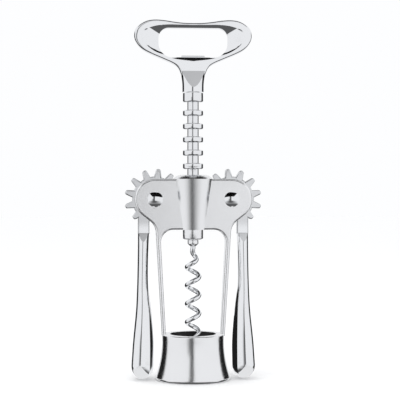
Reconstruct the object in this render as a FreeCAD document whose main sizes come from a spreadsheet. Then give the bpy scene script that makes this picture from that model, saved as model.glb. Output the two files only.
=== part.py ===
import FreeCAD, Part
import math
import operator
import os

import Sketcher

os.makedirs("parts", exist_ok=True)

# Driving dimensions, in millimetres and degrees

SIZES = {
    # Gear drive between the levers and the spindle
    "pivot_height": 95.4,
    "rack_pitch": 7.0,
    "teeth_per_turn": 13,
    "pitch_line_offset": 0.267,
    "mesh_gap": 2.75,
    "tip_to_stem": 1.07,
    "tooth_root_width": 4.3,
    "tooth_tip_width": 2.5,
    "tooth_crown": 0.8,
    "stub_tooth_drop": 0.9,
    "gear_thickness": 4.6,
    # Clearances
    "running_gap": 0.08,
    "seat_gap": 0.02,
    "side_gap": 0.3,
    "tip_gap": 0.4,
    # Yoke and legs
    "yoke_depth": 10.4,
    "lobe_radius": 10.7,
    "lobe_exit_angle": 52.0,
    "shoulder_run": 5.08,
    "shoulder_radius": 8.0,
    "leg_width": 2.2,
    "leg_foot_depth": 8.4,
    "arch_drop": 16.1,
    "arch_radius": 6.6,
    "frame_round": 1.0,
    # Boss of the spindle
    "boss_top_radius": 10.8,
    "boss_foot_radius": 7.5,
    "dome_rise": 2.2,
    "bore_lead": 0.5,
    # Bell
    "bell_height": 24.2,
    "bell_plate": 1.8,
    "bell_window_radius": 12.2,
    "bottle_radius": 15.0,
    "bottle_seat_length": 10.4,
    "bell_wall": 1.6,
    "bell_rim_round": 0.7,
    "bell_flare_radius": 56.0,
    "bell_spread": 4.8,
    "bell_foot_round": 1.6,
    "bell_rest_width": 0.8,
    # Pivot rivets
    "post_radius": 2.1,
    "stem_radius": 1.25,
    "rivet_head_radius": 4.05,
    "rivet_dome_rise": 1.15,
    "rivet_rim_height": 0.35,
    # Spindle
    "spindle_radius": 3.03,
    "ring_radius": 5.45,
    "ring_height": 3.2,
    "ring_round": 0.75,
    "ring_count": 9,
    "upper_ring_count": 7,
    "collar_gap": 4.1,
    "collar_height": 5.4,
    "collar_chamfer": 0.6,
    "tenon_radius": 2.4,
    "tenon_length": 9.5,
    "journal_radius": 2.3,
    "cross_pin_radius": 1.0,
    "pin_inset": 0.1,
    # Guide bush, ferrule and worm
    "bush_reach": 5.1,
    "bush_chamfer": 0.5,
    "end_gap": 0.3,
    "ferrule_radius": 2.9,
    "ferrule_length": 3.4,
    "ferrule_rim": 0.28,
    "ferrule_bevel": 1.3,
    "worm_pin_radius": 0.75,
    "wire_radius": 1.3,
    "worm_radius": 3.2,
    "worm_pitch": 9.75,
    "worm_runout": 12.0,
    "worm_tip_gap": 0.6,
    "worm_tip_radius": 0.3,
    "worm_shank_length": 11.0,
    # Crown handle
    "crown_thickness": 6.2,
    "crown_lobe_radius": 8.6,
    "crown_side_width": 4.4,
    "crown_top_height": 4.55,
    "crown_side_angle": 25.6,
    "crown_top_angle": 6.2,
    "crown_dip_half_width": 10.5,
    "crown_neck_fillet": 6.5,
    "crown_neck_angle": 72.0,
    "neck_foot_radius": 5.75,
    "neck_foot_chamfer": 0.2,
    "neck_straight_height": 3.0,
    "neck_top_radius": 7.0,
    "neck_length": 11.0,
    "neck_facet_length": 8.6,
    "crown_round": 2.4,
    # Cap lifter opening in the crown, and the dish round it
    "opening_half_width": 18.3,
    "opening_rise": 18.3,
    "opening_height": 15.4,
    "opening_top_round": 5.3,
    "opening_foot_round": 7.4,
    "opening_web": 1.8,
    "lip_half_width": 6.5,
    "lip_height": 0.9,
    "lip_draft": 0.3,
    "dish_side_width": 8.5,
    "dish_side_above": 2.9,
    "dish_side_below": 9.1,
    "dish_shoulder_inset": 3.0,
    "dish_shoulder_rise": 0.2,
    "dish_crest_inset": 4.4,
    "dish_crest_rise": 2.0,
    "dish_dip": 0.8,
    "dish_cheek_inset": 2.2,
    "dish_cheek_rise": 6.7,
    "dish_chin_inset": 4.0,
    "dish_chin_rise": 0.1,
    "dish_sag": 2.3,
    # Levers, measured from the pivot
    "root_inner": 2.9,
    "root_edge": 0.1,
    "root_outer": 9.0,
    "arm_top": 13.4,
    "bevel_start": 15.1,
    "bevel_length": 2.9,
    "bevel_rise": 1.0,
    "facet_length": 4.3,
    "facet_rise": 1.6,
    "arm_drop": 28.0,
    "swell_height": 36.8,
    "palm_height": 19.8,
    "grip_end_height": 0.6,
    "grip_end_length": 7.4,
}

# The stations of a grip from its top: its outer and inner edge from the pivot, the
# edge of its front face, half its depth, and how far the front rolls over as a ratio
# of the half width

GRIP_STATIONS = {
    "arm": (9.15, 3.5, 3.6, 4.9, 0.8),
    "waist": (9.5, 3.5, 3.75, 5.2, 0.8),
    "swell": (10.1, 1.9, 3.1, 6.2, 0.82),
    "palm": (11.7, 0.6, 2.5, 7.6, 0.9),
    "heel": (12.5, 0.7, 2.5, 8.0, 0.95),
}
STATION_PARTS = ("outer", "inner", "front_edge", "half_depth", "roll_ratio")

for station, numbers in GRIP_STATIONS.items():
    for part_name, number in zip(STATION_PARTS, numbers):
        SIZES[f"{station}_{part_name}"] = number

doc = FreeCAD.newDocument("wing_corkscrew")
sheet = doc.addObject("Spreadsheet::Sheet", "Sizes")
for row, (alias, number) in enumerate(SIZES.items(), start=1):
    sheet.set(f"A{row}", alias)
    sheet.set(f"B{row}", str(number))
    sheet.setAlias(f"B{row}", alias)
doc.recompute()


class Size:
    """A measure held twice: as a number, and as a formula of the sheet's cells."""

    def __init__(self, number, formula):
        self.number = number
        self.formula = formula

    def __neg__(self):
        return Size(-self.number, f"(-{self.formula})")


def as_size(value):
    """A Size stays as it is, and a plain number becomes one."""
    if isinstance(value, Size):
        return value
    return Size(float(value), f"({float(value)})")


def joined(sign, work, turned=False):
    """The method that joins two sizes with one arithmetic sign."""

    def method(self, other):
        left, right = self, as_size(other)
        if turned:
            left, right = right, left
        return Size(work(left.number, right.number), f"({left.formula} {sign} {right.formula})")

    return method


Size.__add__ = joined("+", operator.add)
Size.__radd__ = joined("+", operator.add, turned=True)
Size.__sub__ = joined("-", operator.sub)
Size.__rsub__ = joined("-", operator.sub, turned=True)
Size.__mul__ = joined("*", operator.mul)
Size.__rmul__ = joined("*", operator.mul, turned=True)
Size.__truediv__ = joined("/", operator.truediv)
Size.__rtruediv__ = joined("/", operator.truediv, turned=True)


def root(value):
    return Size(math.sqrt(value.number), f"sqrt({value.formula})")


def cosine(angle):
    angle = as_size(angle)
    return Size(math.cos(math.radians(angle.number)), f"cos({angle.formula})")


def sine(angle):
    angle = as_size(angle)
    return Size(math.sin(math.radians(angle.number)), f"sin({angle.formula})")


def tangent(angle):
    return sine(angle) / cosine(angle)


def least(first, second):
    first, second = as_size(first), as_size(second)
    number = min(first.number, second.number)
    return Size(number, f"min({first.formula}; {second.formula})")


def cell(alias):
    """The size that the sheet holds under an alias."""
    return Size(float(sheet.get(alias)), f"Sizes.{alias}")


def plane(body, role):
    """One of a body's own origin planes or axes."""
    for feature in body.Origin.OriginFeatures:
        if feature.Role == role:
            return feature


def new_body(label):
    body = doc.addObject("PartDesign::Body", label)
    body.Label = label
    return body


def bind(thing, path, value):
    """Tie a property to the sheet."""
    thing.setExpression(path, as_size(value).formula)


def new_sketch(body, name, role, height=None):
    """A sketch on one of the body's planes, or at a height along that plane's normal."""
    sketch = body.newObject("Sketcher::SketchObject", f"{body.Label}_{name}")
    sketch.AttachmentSupport = [(plane(body, role), "")]
    sketch.MapMode = "FlatFace"
    if height is not None:
        bind(sketch, "AttachmentOffset.Base.z", height)
    return sketch


def pin_point(sketch, edge, end, x, y):
    """Hold one end of an edge at a place that the sheet gives."""
    for kind, axis, value in (("DistanceX", -2, as_size(x)), ("DistanceY", -1, as_size(y))):
        if value.number == 0:
            sketch.addConstraint(Sketcher.Constraint("PointOnObject", edge, end, axis))
        else:
            held = Sketcher.Constraint(kind, -1, 1, edge, end, value.number)
            index = sketch.addConstraint(held)
            bind(sketch, f"Constraints[{index}]", value)


def pin_radius(sketch, edge, radius):
    index = sketch.addConstraint(Sketcher.Constraint("Radius", edge, abs(radius.number)))
    sketch.setExpression(f"Constraints[{index}]", f"abs({radius.formula})")


def bend(here, there, radius):
    """The arc from here to there, turning left when the radius is positive."""
    chord = there - here
    left = FreeCAD.Vector(-chord.y, chord.x, 0).normalize()
    rise = math.sqrt(max(radius**2 - (chord.Length / 2) ** 2, 0.0))
    centre = (here + there) / 2 + left * math.copysign(rise, radius)
    begin, finish = (here, there) if radius > 0 else (there, here)
    angles = [math.atan2(p.y - centre.y, p.x - centre.x) for p in (begin, finish)]
    circle = Part.Circle(centre, FreeCAD.Vector(0, 0, 1), abs(radius))
    return Part.ArcOfCircle(circle, angles[0], angles[1])


def outline(sketch, corners):
    """A closed outline through (x, y) or (x, y, radius) corners.

    A radius bends the edge that leaves its corner, to the left when positive.
    """
    places = [FreeCAD.Vector(as_size(c[0]).number, as_size(c[1]).number, 0) for c in corners]
    starts, ends = [], []
    for index, corner in enumerate(corners):
        here = places[index]
        there = places[(index + 1) % len(places)]
        if len(corner) == 3:
            radius = as_size(corner[2])
            edge = sketch.addGeometry(bend(here, there, radius.number), False)
            start, end = (1, 2) if radius.number > 0 else (2, 1)
        else:
            edge = sketch.addGeometry(Part.LineSegment(here, there), False)
            start, end = 1, 2
        starts.append((edge, start))
        ends.append((edge, end))
    for index, corner in enumerate(corners):
        edge, start = starts[index]
        sketch.addConstraint(Sketcher.Constraint("Coincident", *ends[index - 1], edge, start))
        pin_point(sketch, edge, start, corner[0], corner[1])
        if len(corner) == 3:
            pin_radius(sketch, edge, as_size(corner[2]))


def disc(sketch, x, y, radius):
    """A full circle."""
    x, y = as_size(x), as_size(y)
    centre = FreeCAD.Vector(x.number, y.number, 0)
    circle = Part.Circle(centre, FreeCAD.Vector(0, 0, 1), radius.number)
    edge = sketch.addGeometry(circle, False)
    pin_point(sketch, edge, 3, x, y)
    pin_radius(sketch, edge, radius)


def both_ways(body, kind, name, sketch, length):
    """A Pad or a Pocket that reaches as far on both sides of its sketch."""
    feature = body.newObject(f"PartDesign::{kind}", f"{body.Label}_{name}")
    feature.Profile = sketch
    feature.SideType = "Symmetric"
    bind(feature, "Length", length)
    return feature


def turned(body, kind, name, sketch):
    """A full Revolution or Groove about the upright axis of its sketch."""
    feature = body.newObject(f"PartDesign::{kind}", f"{body.Label}_{name}")
    feature.Profile = sketch
    feature.ReferenceAxis = (sketch, ["V_Axis"])
    feature.Angle = 360
    return feature


def rounded(body, name, base, radius, wanted):
    """Round the edges of the base feature for which wanted(edge) is true."""
    doc.recompute()
    names = [f"Edge{i}" for i, edge in enumerate(base.Shape.Edges, start=1) if wanted(edge)]
    fillet = body.newObject("PartDesign::Fillet", f"{body.Label}_{name}")
    fillet.Base = (base, names)
    bind(fillet, "Radius", radius)
    return fillet


def ends_of(edge):
    return [vertex.Point for vertex in edge.Vertexes]


# Places that several pieces share

running_gap = cell("running_gap")
seat_gap = cell("seat_gap")
ring_radius = cell("ring_radius")
rack_pitch = cell("rack_pitch")
pitch_radius = rack_pitch * cell("teeth_per_turn") / (2 * math.pi)
pivot_offset = pitch_radius + ring_radius + cell("pitch_line_offset")
pivot_height = cell("pivot_height")
gear_tip_radius = pivot_offset - cell("spindle_radius") - cell("tip_to_stem")
gear_root_radius = pivot_offset - ring_radius - cell("mesh_gap")
gear_thickness = cell("gear_thickness")
tooth_step = 360 / cell("teeth_per_turn")
yoke_depth = cell("yoke_depth")
arch_height = pivot_height - cell("arch_drop")
bore_radius = ring_radius + running_gap
bell_height = cell("bell_height")
bell_under = bell_height - cell("bell_plate")
bell_rim_radius = cell("bottle_radius") + cell("bell_wall")
top_ring = pivot_height + rack_pitch * (cell("upper_ring_count") - 0.5)
lowest_ring = top_ring - rack_pitch * (cell("ring_count") - 1)
collar_foot = top_ring + cell("ring_height") / 2 + cell("collar_gap")
crown_seat = collar_foot + cell("collar_height")
crown_pin_height = crown_seat + cell("tenon_length") / 2
journal_radius = cell("journal_radius")
journal_top = lowest_ring - cell("ring_height") / 2
bush_foot = arch_height - cell("bush_reach")
journal_foot = bush_foot - cell("end_gap")
ferrule_foot = journal_foot - cell("ferrule_length")
shank_top = ferrule_foot + cell("worm_shank_length")
worm_pin_height = (bush_foot + shank_top) / 2
worm_tip_height = bell_under + cell("worm_tip_gap")
grip_end = pivot_height - cell("grip_end_height")
opening_half_width = cell("opening_half_width")
opening_foot = crown_seat + cell("opening_rise")
opening_top = opening_foot + cell("opening_height")
dish_half_width = opening_half_width + cell("dish_side_width")


def make_frame():
    """Yoke, legs and bell in one casting."""
    body = new_body("frame")
    lobe = cell("lobe_radius")
    angle = cell("lobe_exit_angle")
    leg_foot = (bell_height + bell_under) / 2
    arch_radius = cell("arch_radius")
    top = pivot_height + lobe
    exit_x = pivot_offset + lobe * cosine(angle)
    exit_z = pivot_height - lobe * sine(angle)
    # A straight run leaves the lobe, and the shoulder's arc starts tangent to it
    run = cell("shoulder_run")
    shoulder = cell("shoulder_radius")
    shoulder_x = exit_x - run * sine(angle)
    shoulder_z = exit_z - run * cosine(angle)
    # The leg is tangent to that arc and ends on the bell's rim
    outer_foot = bell_rim_radius
    away_x = outer_foot - (shoulder_x + shoulder * cosine(angle))
    away_z = leg_foot - (shoulder_z - shoulder * sine(angle))
    away = away_x * away_x + away_z * away_z
    length = root(away - shoulder * shoulder)
    outer_top = outer_foot - length * (length * away_x - shoulder * away_z) / away
    leg_top = leg_foot - length * (length * away_z + shoulder * away_x) / away
    lean_sine = (outer_top - outer_foot) / length
    lean_cosine = (leg_top - leg_foot) / length
    # The arch's corner is tangent to the leg and to the arch's top
    leg_width = cell("leg_width")
    inner_foot = outer_foot - leg_width
    corner_z = arch_height - arch_radius * (1 + lean_sine)
    corner_x = inner_foot + (corner_z - leg_foot) * lean_sine / lean_cosine
    arch_x = corner_x - arch_radius * lean_cosine
    corners = [
        (-pivot_offset, top),
        (pivot_offset, top, -lobe),
        (pivot_offset + lobe, pivot_height, -lobe),
        (exit_x, exit_z),
        (shoulder_x, shoulder_z, shoulder),
        (outer_top, leg_top),
        (outer_foot, leg_foot),
        (inner_foot, leg_foot),
        (corner_x, corner_z, arch_radius),
        (arch_x, arch_height),
        (-arch_x, arch_height, arch_radius),
        (-corner_x, corner_z),
        (-inner_foot, leg_foot),
        (-outer_foot, leg_foot),
        (-outer_top, leg_top, shoulder),
        (-shoulder_x, shoulder_z),
        (-exit_x, exit_z, -lobe),
        (-(pivot_offset + lobe), pivot_height, -lobe),
    ]
    sketch = new_sketch(body, "front", "XZ_Plane")
    outline(sketch, corners)
    both_ways(body, "Pad", "yoke_and_legs", sketch, yoke_depth)

    # The legs grow shallower from the yoke to the bell
    half_depth = yoke_depth / 2
    clear = yoke_depth
    foot_depth = cell("leg_foot_depth") / 2
    sketch = new_sketch(body, "leg_taper", "YZ_Plane")
    for side in (1, -1):
        taper = [
            (half_depth * side, corner_z),
            (clear * side, corner_z),
            (clear * side, leg_foot),
            (foot_depth * side, leg_foot),
        ]
        outline(sketch, taper if side > 0 else taper[::-1])
    tapered = both_ways(body, "Pocket", "leg_taper_cut", sketch, outer_top * 3)

    def on_the_rim(edge):
        ends = ends_of(edge)
        if len(ends) != 2:
            return False
        near_front = all(abs(p.y) > foot_depth.number - 0.01 for p in ends)
        one_side = ends[0].y * ends[1].y > 0
        crease = all(abs(p.z - corner_z.number) < 0.01 for p in ends)
        foot = all(abs(p.z - leg_foot.number) < 0.01 for p in ends)
        return near_front and one_side and not crease and not foot

    round_size = least(cell("frame_round"), leg_width * 0.47)
    rounded(body, "rim_round", tapered, round_size, on_the_rim)

    # Tapered boss with a domed top
    boss_top = cell("boss_top_radius")
    dome = cell("dome_rise")
    lead = cell("bore_lead")
    flat = bore_radius + lead
    reach = boss_top - flat
    dome_radius = (reach * reach + dome * dome) / (2 * dome)
    sketch = new_sketch(body, "boss", "XZ_Plane")
    outline(
        sketch,
        [
            (0, arch_height),
            (cell("boss_foot_radius"), arch_height),
            (boss_top, top, dome_radius),
            (flat, top + dome),
            (0, top + dome),
        ],
    )
    turned(body, "Revolution", "spindle_boss", sketch)

    # Bell with a flared skirt, open below
    rim = bell_rim_radius
    rim_round = cell("bell_rim_round")
    bottle = cell("bottle_radius")
    foot = bottle + cell("bell_spread")
    foot_round = cell("bell_foot_round")
    flare = cell("bell_flare_radius")
    window = cell("bell_window_radius")
    seat_foot = bell_under - cell("bottle_seat_length")
    mouth = foot - foot_round - cell("bell_rest_width")
    sketch = new_sketch(body, "bell", "XZ_Plane")
    outline(
        sketch,
        [
            (window, bell_height),
            (window, bell_under),
            (bottle, bell_under),
            (bottle, seat_foot, -flare),
            (mouth, 0),
            (foot - foot_round, 0, foot_round),
            (foot, foot_round, -flare),
            (rim, bell_height - rim_round, rim_round),
            (rim - rim_round, bell_height),
        ],
    )
    turned(body, "Revolution", "bell_wall", sketch)

    # Bore of the spindle, with a small lead-in above
    sketch = new_sketch(body, "bore", "XZ_Plane")
    outline(
        sketch,
        [
            (0, arch_height - lead),
            (bore_radius, arch_height - lead),
            (bore_radius, top + dome - lead),
            (flat, top + dome),
            (flat, top + dome + lead),
            (0, top + dome + lead),
        ],
    )
    turned(body, "Groove", "spindle_bore", sketch)

    # Wells for the gears, open outwards, and the holes of their pivots
    sketch = new_sketch(body, "wells", "XZ_Plane")
    disc(sketch, pivot_offset, pivot_height, gear_tip_radius + cell("tip_gap"))
    both_ways(body, "Pocket", "gear_well_right", sketch, gear_thickness + 2 * cell("side_gap"))
    sketch = new_sketch(body, "well_left", "XZ_Plane")
    disc(sketch, -pivot_offset, pivot_height, gear_tip_radius + cell("tip_gap"))
    both_ways(body, "Pocket", "gear_well_left", sketch, gear_thickness + 2 * cell("side_gap"))
    sketch = new_sketch(body, "pivots", "XZ_Plane")
    disc(sketch, pivot_offset, pivot_height, cell("post_radius") + seat_gap)
    disc(sketch, -pivot_offset, pivot_height, cell("post_radius") + seat_gap)
    both_ways(body, "Pocket", "pivot_holes", sketch, yoke_depth * 2)
    return body


def tooth(sketch, angle, side, tip_radius):
    """One tooth that points at an angle from the outward direction, by polar places."""
    half_root = cell("tooth_root_width") / 2
    half_tip = cell("tooth_tip_width") / 2
    crown = cell("tooth_crown")
    foot = gear_root_radius * 0.9
    shoulder = tip_radius - crown
    tip_bend = (half_tip * half_tip + crown * crown) / (2 * crown)
    places = [(foot, -half_root), (shoulder, -half_tip), (shoulder, half_tip), (foot, half_root)]
    corners = []
    for along, across in places:
        x = along * cosine(angle) - across * sine(angle)
        z = along * sine(angle) + across * cosine(angle)
        corners.append((x * side, z))
    corners[1] = (*corners[1], tip_bend * side)
    outline(sketch, corners)


def grip_stations():
    """The grip's stations from its top to its heel, each a set of sizes."""
    arm_drop = cell("arm_drop")
    swell_drop = grip_end - cell("swell_height")
    drops = (
        arm_drop,
        arm_drop + (swell_drop - arm_drop) * 8 / 15,
        swell_drop,
        grip_end - cell("palm_height"),
        grip_end - cell("grip_end_length"),
    )
    stations = []
    for station, drop in zip(GRIP_STATIONS, drops):
        sizes = {part: cell(f"{station}_{part}") for part in STATION_PARTS}
        stations.append(dict(sizes, drop=drop))
    top = dict(stations[0], drop=cell("arm_top"), outer=cell("root_outer"))
    top["inner"] = cell("root_inner")
    top["front_edge"] = cell("root_inner") + cell("root_edge")
    return [top, *stations]


def end_stations(heel):
    """The stations of the grip's rounded end, each a smaller copy of the heel."""
    middle = (heel["outer"] + heel["inner"]) / 2
    length = cell("grip_end_length")
    stations = []
    for share in (0, 0.25, 0.45, 0.62, 0.76, 0.87, 0.95, 0.99):
        scale = root(as_size(1 - share * share))
        narrowed = {"roll_ratio": heel["roll_ratio"], "half_depth": heel["half_depth"] * scale}
        narrowed["drop"] = grip_end - length * (1 - share)
        for edge in ("outer", "inner", "front_edge"):
            narrowed[edge] = middle + (heel[edge] - middle) * scale
        stations.append(narrowed)
    return stations


def grip_outline(sketch, station, side):
    """A grip's level section: rolled front and back, and an inner side drawn to a ridge."""
    outer, inner = station["outer"], station["inner"]
    front_edge, depth = station["front_edge"], station["half_depth"]
    crest = (outer + front_edge) / 2
    half = outer - crest
    fall = half * station["roll_ratio"]
    brow = (half * half + fall * fall) / (2 * fall)
    inner_fall = fall * 0.6
    inner_brow = (half * half + inner_fall * inner_fall) / (2 * inner_fall)
    flank_y = depth - inner_fall
    flank_x = front_edge - inner
    flank = (flank_x * flank_x + flank_y * flank_y) / (2 * flank_x)
    corners = [
        (outer * side, depth - fall, brow * side),
        (crest * side, depth, inner_brow * side),
        (front_edge * side, flank_y, flank * side),
        (inner * side, 0, flank * side),
        (front_edge * side, -flank_y, inner_brow * side),
        (crest * side, -depth, brow * side),
        (outer * side, fall - depth),
    ]
    outline(sketch, corners)


def make_lever(label, side):
    """Gear sector, flat root and grip in one casting, drawn about its pivot."""
    body = new_body(label)
    sketch = new_sketch(body, "hub", "XZ_Plane")
    disc(sketch, 0, 0, gear_root_radius)
    both_ways(body, "Pad", "gear_disc", sketch, gear_thickness)

    # Nine teeth in a fan, from below the spindle's side over the top to the outside
    sketch = new_sketch(body, "first_tooth", "XZ_Plane")
    tooth(sketch, 180 + tooth_step, side, gear_tip_radius)
    first = both_ways(body, "Pad", "tooth", sketch, gear_thickness)
    fan = body.newObject("PartDesign::PolarPattern", f"{label}_teeth")
    fan.Originals = [first]
    fan.Axis = (plane(body, "Y_Axis"), [""])
    fan.Reversed = side < 0
    fan.Occurrences = 9
    bind(fan, "Angle", tooth_step * 8)
    body.Tip = fan

    sketch = new_sketch(body, "stub", "XZ_Plane")
    tooth(sketch, 180 - tooth_step * 8, side, gear_tip_radius - cell("stub_tooth_drop"))
    both_ways(body, "Pad", "stub_tooth", sketch, gear_thickness)

    # Flat root between the gear and the grip
    sketch = new_sketch(body, "root", "XZ_Plane")
    inner, outer = cell("root_inner"), cell("root_outer")
    low = -cell("arm_top")
    high = -(gear_root_radius / 2)
    corners = [(inner * side, high), (inner * side, low), (outer * side, low), (outer * side, high)]
    outline(sketch, corners)
    both_ways(body, "Pad", "root_plate", sketch, gear_thickness)

    # Grip through its stations, and its rounded end
    stations = grip_stations()
    ends = end_stations(stations[-1])
    for name, levels, ruled in (("grip", stations, False), ("grip_end", ends, True)):
        sketches = []
        for number, station in enumerate(levels):
            sketch = new_sketch(body, f"{name}_{number}", "XY_Plane", -station["drop"])
            grip_outline(sketch, station, side)
            sketches.append(sketch)
        loft = body.newObject("PartDesign::AdditiveLoft", f"{label}_{name}")
        loft.Profile = sketches[0]
        loft.Sections = sketches[1:]
        loft.Ruled = ruled

    # Bevel and facet that lead from the thin root to the full grip, front and back
    flat = gear_thickness / 2
    bevel_foot = -(cell("bevel_start") + cell("bevel_length"))
    bevel_out = flat + cell("bevel_rise")
    facet_foot = bevel_foot - cell("facet_length") * 2
    facet_out = bevel_out + cell("facet_rise") * 2
    clear = cell("heel_half_depth") * 1.2
    sketch = new_sketch(body, "facets", "YZ_Plane")
    for way in (1, -1):
        cut = [
            (flat * way, 0),
            (flat * way, -cell("bevel_start")),
            (bevel_out * way, bevel_foot),
            (facet_out * way, facet_foot),
            (clear * way, facet_foot),
            (clear * way, 0),
        ]
        outline(sketch, cut)
    both_ways(body, "Pocket", "facet_cut", sketch, outer * 4)

    sketch = new_sketch(body, "pivot", "XZ_Plane")
    disc(sketch, 0, 0, cell("post_radius") + running_gap)
    both_ways(body, "Pocket", "pivot_hole", sketch, gear_thickness * 2)
    bind(body, "Placement.Base.x", pivot_offset * side)
    bind(body, "Placement.Base.z", pivot_height)
    return body


def make_pivot_post(label, side):
    """Front half of a pivot rivet: a domed head on a hollow post through the yoke."""
    body = new_body(label)
    head = cell("rivet_head_radius")
    rim = cell("rivet_rim_height")
    rise = cell("rivet_dome_rise")
    dome = (head * head + rise * rise) / (2 * rise)
    post = cell("post_radius")
    hollow = cell("stem_radius") + seat_gap
    sketch = new_sketch(body, "profile", "XZ_Plane")
    outline(
        sketch,
        [
            (0, 0),
            (hollow, 0),
            (hollow, -yoke_depth),
            (post, -yoke_depth),
            (post, 0),
            (head, 0),
            (head, rim, dome),
            (0, rim + rise),
        ],
    )
    turned(body, "Revolution", "post_and_head", sketch)
    bind(body, "Placement.Base.x", pivot_offset * side)
    bind(body, "Placement.Base.y", -yoke_depth / 2)
    bind(body, "Placement.Base.z", pivot_height)
    body.Placement.Rotation = FreeCAD.Rotation(FreeCAD.Vector(1, 0, 0), 90)
    return body


def make_pivot_cap(label, side):
    """Rear half of a pivot rivet: a domed head whose stem is driven into the post."""
    body = new_body(label)
    head = cell("rivet_head_radius")
    rim = cell("rivet_rim_height")
    rise = cell("rivet_dome_rise")
    dome = (head * head + rise * rise) / (2 * rise)
    stem = cell("stem_radius")
    sketch = new_sketch(body, "profile", "XZ_Plane")
    outline(
        sketch,
        [
            (0, yoke_depth * -0.8),
            (stem, yoke_depth * -0.8),
            (stem, 0),
            (head, 0),
            (head, rim, dome),
            (0, rim + rise),
        ],
    )
    turned(body, "Revolution", "stem_and_head", sketch)
    bind(body, "Placement.Base.x", pivot_offset * side)
    bind(body, "Placement.Base.y", yoke_depth / 2)
    bind(body, "Placement.Base.z", pivot_height)
    body.Placement.Rotation = FreeCAD.Rotation(FreeCAD.Vector(1, 0, 0), -90)
    return body


def make_spindle():
    """Round rack: tenon, collar, stem with rings, and the journal of the bush."""
    body = new_body("spindle")
    stem = cell("spindle_radius")
    chamfer = cell("collar_chamfer")
    tenon_top = crown_seat + cell("tenon_length")
    shank_hole = cell("wire_radius") + seat_gap
    sketch = new_sketch(body, "profile", "XZ_Plane")
    outline(
        sketch,
        [
            (0, shank_top),
            (shank_hole, shank_top),
            (shank_hole, journal_foot),
            (journal_radius, journal_foot),
            (journal_radius, journal_top),
            (stem, journal_top),
            (stem, collar_foot),
            (ring_radius - chamfer, collar_foot),
            (ring_radius, collar_foot + chamfer),
            (ring_radius, crown_seat),
            (cell("tenon_radius"), crown_seat),
            (cell("tenon_radius"), tenon_top),
            (0, tenon_top),
        ],
    )
    turned(body, "Revolution", "stem_and_collar", sketch)

    # Rings of the rack
    half = cell("ring_height") / 2
    soft = cell("ring_round")
    inside = stem * 0.6
    sketch = new_sketch(body, "ring", "XZ_Plane")
    outline(
        sketch,
        [
            (inside, top_ring - half),
            (ring_radius - soft, top_ring - half, soft),
            (ring_radius, top_ring - half + soft),
            (ring_radius, top_ring + half - soft, soft),
            (ring_radius - soft, top_ring + half),
            (inside, top_ring + half),
        ],
    )
    first = turned(body, "Revolution", "top_ring", sketch)
    rack = body.newObject("PartDesign::LinearPattern", "spindle_rings")
    rack.Originals = [first]
    rack.Direction = (plane(body, "Z_Axis"), [""])
    rack.Reversed = True
    bind(rack, "Occurrences", cell("ring_count"))
    bind(rack, "Length", rack_pitch * (cell("ring_count") - 1))
    body.Tip = rack

    # Cross holes of the two locking pins
    sketch = new_sketch(body, "crown_pin", "YZ_Plane")
    disc(sketch, 0, crown_pin_height, cell("cross_pin_radius") + seat_gap)
    both_ways(body, "Pocket", "crown_pin_hole", sketch, ring_radius * 3)
    sketch = new_sketch(body, "worm_pin", "YZ_Plane")
    disc(sketch, 0, worm_pin_height, cell("worm_pin_radius") + seat_gap)
    both_ways(body, "Pocket", "worm_pin_hole", sketch, ring_radius * 3)
    return body


def make_bush():
    """Sleeve on the spindle's journal that guides it in the bore of the boss."""
    body = new_body("guide_bush")
    bore = journal_radius + running_gap
    outer = ring_radius
    chamfer = cell("bush_chamfer")
    top = journal_top - cell("end_gap")
    sketch = new_sketch(body, "profile", "XZ_Plane")
    outline(
        sketch,
        [
            (bore, bush_foot),
            (outer - chamfer, bush_foot),
            (outer, bush_foot + chamfer),
            (outer, top - chamfer),
            (outer - chamfer, top),
            (bore, top),
        ],
    )
    turned(body, "Revolution", "sleeve", sketch)
    return body


def make_ferrule():
    """Bevelled sleeve that holds the worm's shank under the spindle."""
    body = new_body("worm_ferrule")
    bore = cell("wire_radius") + seat_gap
    outer = cell("ferrule_radius")
    sketch = new_sketch(body, "profile", "XZ_Plane")
    outline(
        sketch,
        [
            (bore, ferrule_foot),
            (bore + cell("ferrule_rim"), ferrule_foot),
            (outer, ferrule_foot + cell("ferrule_bevel")),
            (outer, journal_foot),
            (bore, journal_foot),
        ],
    )
    turned(body, "Revolution", "sleeve", sketch)
    return body


def make_pin(label, radius, length, height):
    """A straight pin that lies across the tool, from left to right."""
    body = new_body(label)
    sketch = new_sketch(body, "section", "YZ_Plane")
    disc(sketch, 0, height, radius)
    both_ways(body, "Pad", "pin", sketch, length)
    return body


def dish_corners():
    """The wide outline of the dish round the cap lifter's opening."""
    crest_x = opening_half_width - cell("dish_crest_inset")
    crest_z = opening_top + cell("dish_crest_rise")
    dip = cell("dish_dip")
    dip_radius = (crest_x * crest_x + dip * dip) / (2 * dip)
    wide = dish_half_width
    shoulder_x = wide - cell("dish_shoulder_inset")
    shoulder_z = opening_top + cell("dish_shoulder_rise")
    side_top = opening_top - cell("dish_side_above")
    side_foot = opening_foot + cell("dish_side_below")
    cheek_x = wide - cell("dish_cheek_inset")
    cheek_z = opening_foot + cell("dish_cheek_rise")
    chin_x = opening_half_width - cell("dish_chin_inset")
    chin_z = opening_foot + cell("dish_chin_rise")
    sag = cell("dish_sag")
    chin_radius = (chin_x * chin_x + sag * sag) / (2 * sag)
    brow_radius = wide * 1.1
    corner_radius = cell("dish_cheek_inset") * 1.9
    return [
        (-crest_x, crest_z, dip_radius),
        (crest_x, crest_z, -brow_radius),
        (shoulder_x, shoulder_z, -corner_radius),
        (wide, side_top),
        (wide, side_foot, -corner_radius),
        (cheek_x, cheek_z, -brow_radius * 3),
        (chin_x, chin_z, -chin_radius),
        (-chin_x, chin_z, -brow_radius * 3),
        (-cheek_x, cheek_z, -corner_radius),
        (-wide, side_foot),
        (-wide, side_top, -corner_radius),
        (-shoulder_x, shoulder_z, -brow_radius),
    ]


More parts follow.
